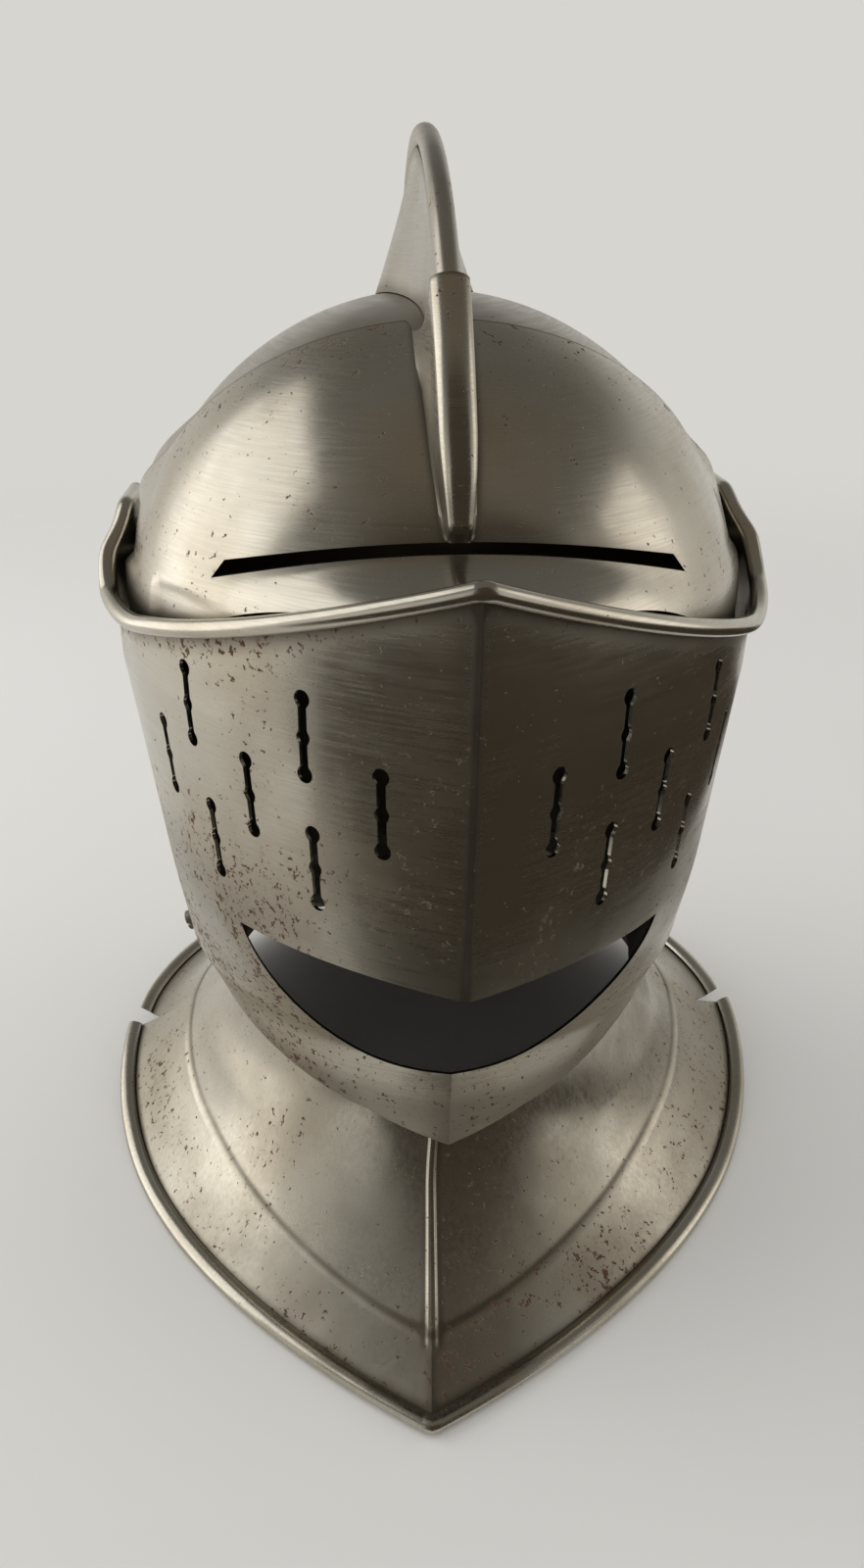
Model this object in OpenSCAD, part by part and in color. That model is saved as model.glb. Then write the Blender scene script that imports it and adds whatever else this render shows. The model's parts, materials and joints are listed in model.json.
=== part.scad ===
// Close helmet with a high comb, a lifting visor, a face guard and two gorget plates.
// The helmet stands on its gorget. Its front faces -Y, +Z is up, and +X is the viewer's right.

/* [Sheet] */
// Thickness of every steel plate
sheet = 1.2; // [0.8:0.1:1.6]
// Outer radius of the edges that are rolled over a wire
roll_r = 3; // [2.6:0.1:3.6]
// Clearance round the wire inside a rolled edge
wire_gap = 0.15; // [0.1:0.05:0.3]

/* [Bowl] */
// Half width of the bowl at its widest level
bowl_half_w = 107; // [106:0.1:107.5]
// Half length of the bowl at its widest level
bowl_half_l = 123; // [115:1:132]
// Height of the crown above the widest level
bowl_rise = 115; // [105:1:125]
// Height of the widest level above the table
equator_z = 212; // [206:1:218]
// How far the middle of the bowl lies behind the origin
bowl_mid_y = 4.25; // [2:0.1:8]
// Half width of the bowl at its lower edge
bowl_neck_half_w = 80; // [76:1:82]
// Half length of the bowl at its lower edge
bowl_neck_half_l = 97; // [92:1:102]
// Height of the lower edge of the bowl
bowl_edge_z = 78; // [76:1:80]

/* [Comb] */
// Distance from the temple screws to the top of the crest
crest_r = 131.5; // [126:0.5:137]
// Radius of the bead that runs along the crest
crest_bead_r = 3.6; // [3:0.1:4.2]
// Radius of the rear part of the crest
crest_rear_r = 114; // [108:1:118]
// Half width of the comb just below its bead
comb_neck = 3; // [2.4:0.1:3.2]
// Half width of the comb's foot over the crown
comb_foot = 17; // [12:0.5:18]

/* [Visor] */
// Space between the bowl and the visor
visor_gap = 0.8; // [0.6:0.1:1.4]
// Angle of the visor's rear edge above the horizontal
visor_rear_angle = 53.3; // [48:0.1:56]
// Space between the crest and the hollow ridge of the visor
ridge_gap = 0.9; // [0.7:0.1:1.5]
// Half width of the ridge near its top
ridge_half_w = 5.6; // [5.4:0.1:6.4]
// Height of the middle of the sight slit
sight_z = 267.4; // [266:0.1:270]
// Half length of the sight slit
sight_half = 68; // [60:1:74]
// Slope of the sight slit on the old piece
sight_tilt = 0.8; // [0:0.1:1.5]
// Height of the sight slit at its middle
sight_open = 3; // [2.6:0.1:4.5]

/* [Face guard] */
// How far the face guard stands out from the bowl at each side
guard_room = 4.9; // [4.5:0.1:6]
// Twist of the face guard's front on the old piece
guard_twist = 1.9; // [0:0.1:2.2]
// Reach of the prow in front of the middle of the bowl
prow_reach = 144; // [140:1:150]
// Reach of the chin in front of the middle of the bowl
chin_reach = 107; // [104:1:110]
// Height of the rolled upper edge at the prow
brow_z = 265.5; // [264:0.5:267]
// Height of the lower edge under the chin
chin_z = 58; // [55:1:62]
// Height of the upper corners of the mouth opening
mouth_top_z = 142.6; // [140:0.2:145]
// Depth of the mouth opening at its middle
mouth_open = 54.5; // [44:0.5:56]
// Length of a breath slot between its end holes
slot_span = 23; // [18:0.5:25]
// Diameter of the round ends of a breath slot
slot_hole_d = 5.4; // [4.4:0.1:6]
// Width of a breath slot between its holes
slot_neck_w = 3; // [2:0.1:3.6]

/* [Gorget] */
// Half width of the gorget at its lower edge
gorget_half_w = 134; // [130:0.5:138]
// Reach of the gorget's front point
gorget_front_reach = 200; // [196:0.5:206]
// Reach of the gorget behind its middle
gorget_back_reach = 134; // [126:1:142]
// Turn of the gorget on the neck, as the old piece sits
gorget_turn = 4.3; // [0:0.1:5]
// Rise of the side edges over the shoulders
gorget_side_rise = 12; // [6:1:16]

/* [Screws and rivets] */
// Distance of the temple screws behind the middle of the bowl
temple_back = 12; // [10:1:14]
// Height of the temple screws
temple_z = 245; // [242:1:248]
// Diameter of the temple screws
temple_screw_d = 5; // [4:0.5:6]
// Diameter of the locking screw at the jaw
lock_screw_d = 5; // [4:0.5:6]
// Diameter of the gorget rivets
rivet_d = 4; // [3:0.5:5]

/* [Hidden] */

temple_y = bowl_mid_y + temple_back;

// Small helpers
function mix(a, b, t) = a + (b - a) * t;
function clamp(t) = min(1, max(0, t));
function ease(t) = let (c = clamp(t)) c * c * (3 - 2 * c);
function ramp(value, low, high) = ease((value - low) / (high - low));
function unit(v) = v / norm(v);

// Flat seats round the temple screws, counted outwards from the middle
seat_skull = bowl_half_w - 8;
seat_visor = seat_skull + visor_gap + 0.7 + sheet;
seat_guard = seat_visor + 2.2 + sheet;

// Twist of the guard's front: its upper part leans to +X and its -X side sits higher
twist_mid_z = 180;
function twisted(p) =
    let (k = tan(guard_twist) * ramp(bowl_mid_y - p.y, 5, 75))
    [p.x + k * (p.z - twist_mid_z), p.y, p.z - k * p.x];
function seated(p, seat, flat_r = 17.5, blend_r = 46) =
    let (r = norm([p.y - temple_y, p.z - temple_z]), t = ramp(r, flat_r, blend_r))
    [sign(p.x) * mix(seat, abs(p.x), t), p.y, p.z];

// A closed horizontal outline: an ellipse with a keel of the given depth in front
function outline(half_w, front, back, keel, mid_y, turn) =
    let (c = cos(turn), s = sin(turn))
    [half_w * s, mid_y - (c >= 0 ? front * c + keel * pow(1 - abs(s), 2) : back * c)];

// Outward normal of a surface f(u, v), from small steps along u and v
function normal_at(f, u, v, du, dv) =
    unit(cross(f(u + du, v) - f(u - du, v), f(u, v + dv) - f(u, v - dv)));

// A sheet drawn as columns of paired points: the first half of a column is one face of the
// sheet, and the second half comes back along the other face
function strip_faces(columns, n, closed) =
    let (last = closed ? columns : columns - 1)
    concat(
        [for (i = [0:last - 1]) for (j = [0:n - 1]) for (half = [0, 1])
            let (a = i * n + j, b = i * n + (j + 1) % n)
            let (c = ((i + 1) % columns) * n + (j + 1) % n, d = ((i + 1) % columns) * n + j)
            half == 0 ? [a, b, c] : [a, c, d]],
        closed ? [] : [for (k = [0:n / 2 - 2]) for (half = [0, 1])
            let (a = k, b = k + 1, c = n - 2 - k, d = n - 1 - k)
            half == 0 ? [a, c, b] : [a, d, c]],
        closed ? [] : [for (k = [0:n / 2 - 2]) for (half = [0, 1])
            let (o = (columns - 1) * n, a = o + k, b = o + k + 1, c = o + n - 2 - k, d = o + n - 1 - k)
            half == 0 ? [a, b, c] : [a, c, d]]
    );

module plate(columns, closed = false) {
    n = len(columns[0]);
    polyhedron([for (column = columns) each column], strip_faces(len(columns), n, closed), convexity = 10);
}

// Column of a bare sheet between two edges
function sheet_column(f, u, stations, du = 0.5, dv = 0.004) = concat(
    [for (v = stations) f(u, v)],
    [for (i = [len(stations) - 1:-1:0])
        let (v = stations[i]) f(u, v) - sheet * normal_at(f, u, v, du, dv)]
);

// Column of a sheet whose last edge is rolled outwards round a wire
roll_angles = [180, 135, 90, 45, 0, -45, -80, -112];
function roll_centre(f, u, v, du, dv) =
    f(u, v) + (roll_r - sheet) * normal_at(f, u, v, du, dv);
function roll_along(f, u, v, dv) = unit(f(u, v) - f(u, v - dv));
function roll_ring(centre, out, along, r, angles) =
    [for (a = angles) centre + r * (cos(a) * out + sin(a) * along)];
function rolled_column(f, u, stations, du = 0.5, dv = 0.004) =
    let (end = stations[len(stations) - 1])
    let (out = normal_at(f, u, end, du, dv), along = roll_along(f, u, end, dv))
    let (centre = f(u, end) + (roll_r - sheet) * out)
    concat(
        [for (v = stations) f(u, v)],
        roll_ring(centre, out, along, roll_r - sheet, [for (i = [1:7]) roll_angles[i]]),
        roll_ring(centre, out, along, roll_r, [for (i = [7:-1:1]) roll_angles[i]]),
        [for (i = [len(stations) - 1:-1:0])
            let (v = stations[i]) f(u, v) - sheet * normal_at(f, u, v, du, dv)]
    );

// A round wire along the middle of a rolled edge
wire_r = roll_r - sheet - wire_gap;
module edge_wire(f, turns, end, sides = 6, du = 0.5, dv = 0.004) {
    rings = [for (u = turns)
        let (out = normal_at(f, u, end, du, dv), along = roll_along(f, u, end, dv))
        roll_ring(f(u, end) + (roll_r - sheet) * out, out, along, wire_r,
            [for (i = [0:sides - 1]) 180 + 360 * i / sides])];
    plate(rings);
}

// Turns about the upright, closer together beside the temple screws
side_turns = [0, 5, 12, 20, 29, 38, 47, 56, 64, 71, 78, 84, 90, 95.8, 101.7];
rear_turns = [111, 122, 134, 146, 158, 169];
function reversed(list) = [for (i = [len(list) - 1:-1:0]) list[i]];
function both_sides(list) = concat([for (i = [len(list) - 1:-1:1]) -list[i]], list);

// Bowl of the skull
function bowl_half(z) = mix(bowl_half_w, bowl_neck_half_w, pow((equator_z - z) / (equator_z - bowl_edge_z), 1.5));
function bowl_len(z) = mix(bowl_half_l, bowl_neck_half_l, pow((equator_z - z) / (equator_z - bowl_edge_z), 1.6));
function bowl_point(turn, z, grow = 0) =
    let (up = z > equator_z)
    let (c = up ? sqrt(max(0, 1 - pow((z - equator_z) / (bowl_rise + grow), 2))) : 1)
    let (half_w = up ? bowl_half_w * c : bowl_half(z), half_l = up ? bowl_half_l * c : bowl_len(z))
    let (p = outline(half_w + grow * c, half_l + grow * c, half_l + grow * c, 0, bowl_mid_y, turn))
    seated([p.x, p.y, z], seat_skull + grow);

bowl_levels = concat(
    [for (t = [0, 0.2, 0.42, 0.64, 0.84]) mix(bowl_edge_z, equator_z, t)],
    [equator_z, equator_z + 10, temple_z - 12, temple_z, temple_z + 12, temple_z + 23],
    [for (t = [0.6, 0.71, 0.81, 0.89, 0.95, 0.987]) equator_z + bowl_rise * t]
);
bowl_turns = concat(side_turns, rear_turns, [180], [for (i = [5:-1:0]) -rear_turns[i]],
    [for (i = [14:-1:1]) -side_turns[i]]);

module bowl_shell() {
    columns = [for (turn = bowl_turns) concat(
        [for (z = bowl_levels) bowl_point(turn, z)],
        [[0, bowl_mid_y, equator_z + bowl_rise]],
        [[0, bowl_mid_y, equator_z + bowl_rise - sheet]],
        [for (i = [len(bowl_levels) - 1:-1:0])
            let (z = bowl_levels[i]) bowl_point(turn, min(z, equator_z + bowl_rise - sheet * 1.04), -sheet)])];
    bowl_surface(columns);
}

// Closes the ring of columns, with one point shared at the crown of each face
module bowl_surface(columns) {
    count = len(columns);
    rows = len(bowl_levels);
    outer = [for (j = [0:rows - 1]) for (i = [0:count - 1]) columns[i][j]];
    inner = [for (j = [0:rows - 1]) for (i = [0:count - 1]) columns[i][2 * rows + 1 - j]];
    top = 2 * rows * count;
    points = concat(outer, inner, [columns[0][rows], columns[0][rows + 1]]);
    wall = [for (j = [0:rows - 2]) for (i = [0:count - 1]) for (half = [0, 1])
        let (a = j * count + i, b = j * count + (i + 1) % count, c = b + count, d = a + count)
        half == 0 ? [a, c, b] : [a, d, c]];
    lining = [for (face = wall) [face[0] + rows * count, face[2] + rows * count, face[1] + rows * count]];
    crown = [for (i = [0:count - 1]) [(rows - 1) * count + i, top, (rows - 1) * count + (i + 1) % count]];
    ceiling = [for (i = [0:count - 1])
        [(2 * rows - 1) * count + i, (2 * rows - 1) * count + (i + 1) % count, top + 1]];
    rim = [for (i = [0:count - 1]) for (half = [0, 1])
        let (a = i, b = (i + 1) % count, c = rows * count + (i + 1) % count, d = rows * count + i)
        half == 0 ? [a, b, c] : [a, c, d]];
    polyhedron(points, concat(wall, lining, crown, ceiling, rim), convexity = 10);
}

// Face opening of the skull, seen from the side
brow_edge_z = 286;
cheek_y = bowl_mid_y - 42;
module face_opening() {
    far = 2 * bowl_half_l;
    rotate([90, 0, 90])
        linear_extrude(height = 2 * far, center = true)
            polygon([
                [-far, bowl_edge_z - 10],
                [cheek_y, bowl_edge_z - 10],
                [cheek_y, bowl_edge_z + 40],
                [cheek_y + 16, equator_z - 30],
                [cheek_y + 18, equator_z + 22],
                [cheek_y - 4, equator_z + 56],
                [cheek_y - 34, brow_edge_z],
                [-far, brow_edge_z + 6]
            ]);
}

// A cylinder along X on the temple axis, from x0 to x1, on the given side
module temple_rod(side, x0, x1, r) {
    translate([side > 0 ? x0 : -x1, temple_y, temple_z])
        rotate([0, 90, 0])
            cylinder(r = r, h = x1 - x0, $fn = 48);
}

temple_clear = 0.1;
module temple_bores() {
    for (side = [-1, 1])
        temple_rod(side, seat_skull - 12, seat_guard + 12, temple_screw_d / 2 + temple_clear);
}

module skull() {
    color("silver")
        difference() {
            bowl_shell();
            face_opening();
            temple_bores();
            at_lock()
                cylinder(r = lock_screw_d / 2 + 0.05, h = 40, center = true, $fn = 32);
            for (turn = neck_rivet_turns)
                at_neck_rivet(turn)
                    cylinder(r = rivet_d / 2 + 0.05, h = 30, center = true, $fn = 32);
        }
}

// Radius of the bowl, counted from the temple axis, at an angle over the crown
function bowl_radius(angle, x, grow = 0) =
    let (c2 = max(0.0001, 1 - pow(x / (bowl_half_w + grow), 2)))
    let (len2 = pow(bowl_half_l + grow, 2) * c2, high2 = pow(bowl_rise + grow, 2) * c2)
    let (dy = -cos(angle), dz = sin(angle), oy = temple_y - bowl_mid_y, oz = temple_z - equator_z)
    let (a = dy * dy / len2 + dz * dz / high2, b = oy * dy / len2 + oz * dz / high2)
    let (c = oy * oy / len2 + oz * oz / high2 - 1)
    (-b + sqrt(max(0, b * b - a * c))) / a;
function on_arc(angle, x, r) = [x, temple_y - r * cos(angle), temple_z + r * sin(angle)];

// Crest line: one arc about the temple axis, then a smaller one down to the nape
rear_drop = crest_r - crest_rear_r;
function crest_radius(angle) = angle <= 90 ? crest_r :
    rear_drop * sin(angle) + sqrt(pow(crest_rear_r, 2) - pow(rear_drop * cos(angle), 2));

comb_start = 41;
comb_end = 182;
comb_steps = 20;
function comb_foot_at(angle) =
    mix(4, comb_foot, ramp(angle, 55, 95)) * mix(1, 0.4, ramp(angle, 120, comb_end));
function comb_column(angle, wall) =
    let (foot = comb_foot_at(angle), neck = comb_neck - wall)
    let (top = max(crest_radius(angle) - 2 * crest_bead_r - 0.05, bowl_radius(angle, 0) + 1.8) - wall)
    let (side = [for (t = [0, 0.07, 0.16, 0.3, 0.5, 0.75, 1])
        let (x = neck + (foot - wall - neck) * pow(1 - t, 1.2))
        [x, mix(bowl_radius(angle, foot - wall, 0.3), top, t)]])
    concat(
        [for (i = [0:6]) on_arc(angle, -side[i][0], side[i][1])],
        [for (i = [6:-1:0]) on_arc(angle, side[i][0], side[i][1])]
    );

module comb() {
    columns = [for (i = [0:comb_steps])
        let (angle = mix(comb_start, comb_end, i / comb_steps))
        let (outside = comb_column(angle, 0), inside = comb_column(angle, sheet))
        concat(outside, [for (k = [13:-1:0]) inside[k]])];
    color("silver")
        plate(reversed(columns));
}

module crest_bead() {
    mid_r = crest_r - crest_bead_r;
    rear_r = crest_rear_r - crest_bead_r;
    color("gray") {
        translate([0, temple_y, temple_z])
            rotate([90, 0, 90])
                rotate([0, 0, 90])
                    rotate_extrude(angle = 90 - comb_start, $fn = 96)
                        translate([mid_r, 0])
                            circle(r = crest_bead_r, $fn = 24);
        translate([0, temple_y, temple_z + rear_drop])
            rotate([90, 0, 90])
                rotate_extrude(angle = 90, $fn = 96)
                    translate([rear_r, 0])
                        circle(r = crest_bead_r, $fn = 24);
    }
}

// Visor: a sector about the temple axis that covers the front of the bowl
visor_grow = visor_gap + sheet;
flange_max = bowl_half_w - 0.5;
function sight_angle(x) = 10.6 - 4.6 * pow(x / sight_half, 2);
function visor_low(t) = 3 - 50 * pow(cos(t), 5);
function visor_high(t, x) = visor_rear_angle - 10.4 * (1 - ramp(abs(x), 6.5, 11.5));
ridge_top_r = crest_r + ridge_gap + sheet;

// Height of the ridge over the visor at a distance x from its middle
function ridge_height(angle, x) =
    let (full = ridge_top_r - bowl_radius(angle, 0, visor_grow))
    let (tall = (full - 3 * (1 - ramp(angle, 12, 20))) * ramp(angle, 10.9, 13.6))
    let (half = mix(2.6, ridge_half_w - 0.4, ramp(angle, 6, 25)) + 0.4 * clamp((angle - 25) / 20))
    let (base = half + mix(0.9, 2.6, ramp(angle, 14, 45)))
    let (d = abs(x), cap = min(tall, half * 0.6))
    d <= half ? tall - cap * (1 - sqrt(1 - pow(d / half, 2))) :
    d >= base ? 0 :
    (tall - cap) * (1 - pow((d - half) / (base - half), 0.4));

// t runs from the temple screw (0) to the middle line (90)
function visor_point(t, angle, side) =
    let (reach = bowl_radius(angle, 0, visor_grow), r = reach * sin(t))
    let (p = on_arc(angle, 0, r))
    let (e = pow((p.y - bowl_mid_y) / (bowl_half_l + visor_grow), 2)
        + pow((p.z - equator_z) / (bowl_rise + visor_grow), 2))
    let (x = (bowl_half_w + visor_grow) * sqrt(max(0, 1 - e)))
    let (s = seated([x, p.y, p.z], seat_visor))
    let (lift = ridge_height(angle, x))
    let (raised = on_arc(angle, s.x, r + lift))
    let (turn = atan2(x / (bowl_half_w + 2), (bowl_mid_y - p.y) / (bowl_half_l + 2)))
    let (shelf = ease((sight_angle(min(x, sight_half)) - 0.8 - angle) / mix(7, 10, ramp(turn, 50, 70)))
        * (1 - ramp(atan2(x, bowl_mid_y - p.y), 80, 93)))
    let (tuck = 3.7 + 1.6 * ramp(turn, 25, 52) * (1 - ramp(turn, 66, 82)))
    let (inner = guard_bare(turn, p.z, 0.8 * guard_flare(turn, p.z) - tuck))
    let (q = twisted([side * inner.x, inner.y, p.z]))
    let (flange = [side * max(min(abs(q.x), flange_max), turn > 60 ? s.x : 0), q.y, q.z])
    mix([side * raised.x, raised.y, raised.z], flange, shelf);

visor_t = concat([4.6, 8, 12, 17, 23, 30, 37.5, 45.5, 54, 62.5, 70.5, 77, 81.5],
    [for (x = [9.8, 8.2, 7, 6, 5, 3.9, 2.2, 0]) acos(x / (bowl_half_w + visor_grow))]);
visor_low_steps = [0, 0.3, 0.6, 0.85, 1];
visor_high_steps = [0, 0.022, 0.045, 0.072, 0.13, 0.24, 0.38, 0.53, 0.68, 0.84, 1];
function visor_column(t, side) =
    let (x_guess = (bowl_half_w + visor_grow) * cos(t))
    let (mid = sight_angle(min(x_guess, sight_half + 6)), low = visor_low(t), high = visor_high(t, x_guess))
    let (angles = concat([for (v = visor_low_steps) mix(low, mid - 0.25, v)],
        [for (v = visor_high_steps) mix(mid + 0.25, high, v)]))
    let (f = function (u, v) visor_point(u, v, 1))
    let (outer = [for (a = angles) visor_point(t, a, side)])
    let (inner = [for (i = [len(angles) - 1:-1:0])
        let (a = angles[i])
        let (n = t > 89.9 ? middle_normal(a) : -normal_at(f, t, a, 0.15, 0.15))
        let (p = visor_point(t, a, 1) - sheet * n)
        [side * p.x, p.y, p.z]])
    concat(outer, inner);
function middle_normal(a) =
    let (step = visor_point(90, a + 0.2, 1) - visor_point(90, a - 0.2, 1))
    unit([0, -step.z, step.y]);

module visor() {
    turns = len(visor_t);
    columns = concat([for (t = visor_t) visor_column(t, -1)],
        [for (i = [turns - 2:-1:0]) visor_column(visor_t[i], 1)]);
    color("lightgray")
        difference() {
            union() {
                plate(columns);
                for (side = [-1, 1])
                    temple_rod(side, seat_visor - sheet - 0.3, seat_visor + 0.3, 13);
            }
            sight_slit();
            temple_bores();
        }
}

function sight_top(x) = sight_z + sight_open / 2 - 10 * pow(x / 66, 2);
function sight_bottom(x) = sight_z - sight_open / 2 - 12.5 * pow(x / 70, 2);
module sight_slit() {
    steps = [for (i = [0:9]) i / 4.5 - 1];
    high = [for (s = steps) [s * (sight_half - 2.2), sight_top(s * (sight_half - 2.2)) - sight_z]];
    low = [for (i = [9:-1:0]) [steps[i] * (sight_half + 2.2), sight_bottom(steps[i] * (sight_half + 2.2)) - sight_z]];
    translate([0, bowl_mid_y - 48, sight_z])
        rotate([90, sight_tilt, 0])
            linear_extrude(height = 140)
                polygon(concat(high, low));
}

// Face guard: prow with breath slots above the mouth opening, chin band below it
crease_z = 100;
guard_half_w = bowl_half_w + guard_room;
guard_back = bowl_half_l + 7;
function guard_half(z) =
    let (low_half = guard_half_w - 14)
    z > equator_z ? guard_half_w * sqrt(1 - pow(clamp((z - equator_z - 10) / 119), 2)) :
    z > crease_z ? mix(low_half, guard_half_w, (z - crease_z) / (equator_z - crease_z)) :
    low_half - 0.5 * (crease_z - z);
prow_keel = 24;
chin_keel = 8;
function guard_bare(turn, z, grow = 0) =
    let (s = ramp(z, 88, 142))
    let (front = mix(chin_reach - chin_keel, prow_reach - prow_keel, s), keel = mix(chin_keel, prow_keel, s))
    let (p = outline(guard_half(z) + grow, front + grow, guard_back + grow, keel, bowl_mid_y, turn))
    [p.x, p.y, z];
function guard_top(turn) =
    let (a = abs(turn))
    brow_z - 39 * sin(min(a, 90)) + 8.6 * ramp(a, 58, 84) + 23 * ramp(a, 74.5, 91);
function guard_bottom(turn) =
    let (a = abs(turn))
    chin_z + 8 * clamp(a / 20) + 16 * ramp(a, 15, 75);
function guard_flare(turn, z) =
    let (a = abs(turn))
    1.4 * ramp(a, 15, 60) * (1 - ramp(a, 86, 98)) * pow(clamp((z - guard_top(turn) + 22) / 22), 2);
function guard_point(turn, z) =
    seated(twisted(guard_bare(turn, z, guard_flare(turn, z))), seat_guard, 16.5, 30);

guard_turns = both_sides(concat([0, 2.5, 7, 12, 17.5, 23], [29, 35, 41, 47, 54, 61, 68, 75, 81, 86, 91, 96, 101.5]));
guard_stations = [0, 0.08, 0.17, 0.28, 0.4, 0.53, 0.66, 0.77, 0.845, 0.91, 0.97, 1];
function guard_uv(turn, v) =
    let (z = mix(guard_bottom(turn), guard_top(turn), v), a = abs(turn))
    guard_point(sign(turn) * (a - 9 * ramp(a, 62, 101.5) * (1 - ramp(z, 100, 225))), z);

module mouth_opening() {
    corner = 68.5;
    steps = [for (i = [-6:6]) i / 6];
    low = [for (i = [11:-1:1]) i / 6 - 1];
    translate([0, 0, twist_mid_z])
        rotate([90, guard_twist, 0])
            linear_extrude(height = 200)
                polygon(concat(
                    [for (s = steps) [s * corner, mouth_top_z - 2.3 * s * s - twist_mid_z]],
                    [for (s = low)
                        [s * corner, mouth_top_z - 2.3 * s * s - twist_mid_z - mouth_open * pow(1 - pow(abs(s), 3), 0.9)]]
                ));
}

// Breath slots: turn about the upright and height of the middle of each
breath_slots = [[12.9, 197.5], [24.4, 215.3], [24, 173.5], [35.2, 190.5], [47, 212.7], [45, 168.4], [56.3, 189.4]];
module breath_slot(turn, z) {
    p = guard_point(turn, z);
    high = guard_point(turn, z + slot_span / 2);
    low = guard_point(turn, z - slot_span / 2);
    n = normal_at(function (u, v) guard_point(u, v), turn, z, 0.5, 0.5);
    aim = atan2(n.y, n.x);
    lean = atan2(norm([high.x - low.x, high.y - low.y]), slot_span);
    translate(p)
        rotate([0, 0, aim])
            rotate([0, 90 + lean, 0]) {
                for (end = [-1, 1])
                    translate([end * slot_span / 2, 0, 0])
                        cylinder(r = slot_hole_d / 2, h = 14, center = true, $fn = 32);
                cylinder(r = slot_hole_d / 2 - 0.3, h = 14, center = true, $fn = 32);
                cube([slot_span, slot_neck_w, 14], center = true);
            }
}

// The locking screw stands about square to the jaw
lock_turn = -86;
lock_z = 95;
lock_tilt = 20;
lock_swing = -1;
lock_point = guard_point(lock_turn, lock_z);
lock_axis = [-cos(lock_tilt) * cos(lock_swing), -cos(lock_tilt) * sin(lock_swing), -sin(lock_tilt)];
module at_lock() {
    translate(lock_point)
        rotate([0, 0, lock_swing])
            rotate([0, -90 - lock_tilt, 0])
                children();
}

// Depth of the bowl's outside behind the guard, along the locking screw
function outside_bowl(p) =
    pow(p.x / bowl_half(p.z), 2) + pow((p.y - bowl_mid_y) / bowl_len(p.z), 2) > 1;
function bowl_depth(near, far, tries) =
    let (middle = (near + far) / 2)
    tries == 0 ? middle :
    outside_bowl(lock_point - middle * lock_axis) ? bowl_depth(middle, far, tries - 1) :
    bowl_depth(near, middle, tries - 1);
lock_depth = bowl_depth(0, bowl_half_w / 2, 20);
nut_depth = lock_depth + sheet + 0.7;
lock_nut_h = 3.5;

// Open slot that lets the guard swing clear of the locking screw
module lock_slot() {
    p = guard_point(lock_turn, lock_z);
    r = norm([p.y - temple_y, p.z - temple_z]);
    start = atan2(p.z - temple_z, p.y - temple_y);
    half = lock_screw_d / 2 + 0.4;
    translate([-guard_half_w - 20, temple_y, temple_z])
        rotate([90, 0, 90])
            rotate([0, 0, start])
                linear_extrude(height = 50)
                    union() {
                        translate([r, 0])
                            circle(r = half, $fn = 32);
                        polygon([for (a = [0, 4, 8, 12, 16]) [(r - half) * cos(a), (r - half) * sin(a)],
                            for (a = [16, 12, 8, 4, 0]) [(r + half) * cos(a), (r + half) * sin(a)]]);
                    }
}

module face_guard() {
    color("lightgray")
        difference() {
            plate([for (turn = guard_turns) rolled_column(function (u, v) guard_uv(u, v), turn, guard_stations)]);
            mouth_opening();
            for (side = [-1, 1])
                for (slot = breath_slots)
                    breath_slot(side * slot[0], slot[1]);
            temple_bores();
            lock_slot();
        }
}

module guard_rim_wire() {
    color("dimgray")
        edge_wire(function (u, v) guard_uv(u, v), guard_turns, 1);
}

// Gorget: a neck ring that spreads to a pointed lower edge
gorget_mid_y = bowl_mid_y + 30;
gorget_keel = 40;
gorget_foot_z = 1.66;
neck_z = 74;
neck_flare = 1.65;
function gorget_edge_z(turn) =
    let (a = abs(turn))
    gorget_foot_z + gorget_side_rise * ramp(a, 55, 100) * (1 - ramp(a, 125, 165));
function gorget_top(turn, rear) =
    let (a = abs(turn))
    rear ? mix(neck_z, 92, ramp(a, 102, 116)) : mix(77, 87, ramp(a, 30, 75));
collar_gap = 0.7 + sheet + 0.5 + sheet;
// Line where the raised border of the gorget begins, counted down the slope
function border_v(turn) = mix(0.83, 0.66, ramp(abs(turn), 0, 58));
function gorget_point(turn, v, rear) =
    let (inset = rear ? -(sheet + 0.5) * mix(1, 1.7, ramp(v, 0.1, 0.55)) : 0, top_z = gorget_top(turn, rear), edge_z = gorget_edge_z(turn))
    let (z = mix(top_z, edge_z, v), neck = max(z, neck_z))
    let (low = outline(gorget_half_w, gorget_front_reach - gorget_keel, gorget_back_reach, gorget_keel, gorget_mid_y, turn))
    let (high = outline(bowl_half(neck) + collar_gap, 92, bowl_len(neck) + collar_gap, 4, bowl_mid_y, turn))
    let (spread = pow(clamp((neck_z - z) / (neck_z - edge_z)), neck_flare))
    let (p = mix(high, low, spread), d = unit([p.x, p.y - bowl_mid_y]))
    let (border = 0.8 * ramp(v, border_v(turn) - 0.02, border_v(turn) + 0.02))
    let (ridge = rear ? 0 : 1.1 * (1 - ramp(abs(turn), 0.5, 1.1)) * ramp(v, 0.02, 0.1) * (1 - ramp(v, 0.82, 0.86)))
    turned([p.x + (inset + border + ridge) * d.x, p.y + (inset + border + ridge) * d.y, z],
        ramp(z, neck_z - 30, neck_z), ramp(abs(turn), 35, 60));
function turned(p, high, aside) =
    let (t = gorget_turn * (1 - high * aside), mid = mix(gorget_mid_y, bowl_mid_y, high), y = p.y - mid)
    [p.x * cos(t) + y * sin(t), mid - p.x * sin(t) + y * cos(t), p.z];

gorget_stations = [0, 0.1, 0.17, 0.28, 0.46, 0.64, 0.68, 0.81, 0.85, 1];
front_turns = both_sides([0, 0.5, 1.1, 5, 11, 18, 26, 34, 42, 50, 58, 66, 74, 82, 91]);
rear_plate_turns = [97, 103, 109, 116, 124, 133, 142, 151, 160, 170, 180,
    190, 200, 209, 218, 227, 236, 244, 251, 258, 267];

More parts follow.
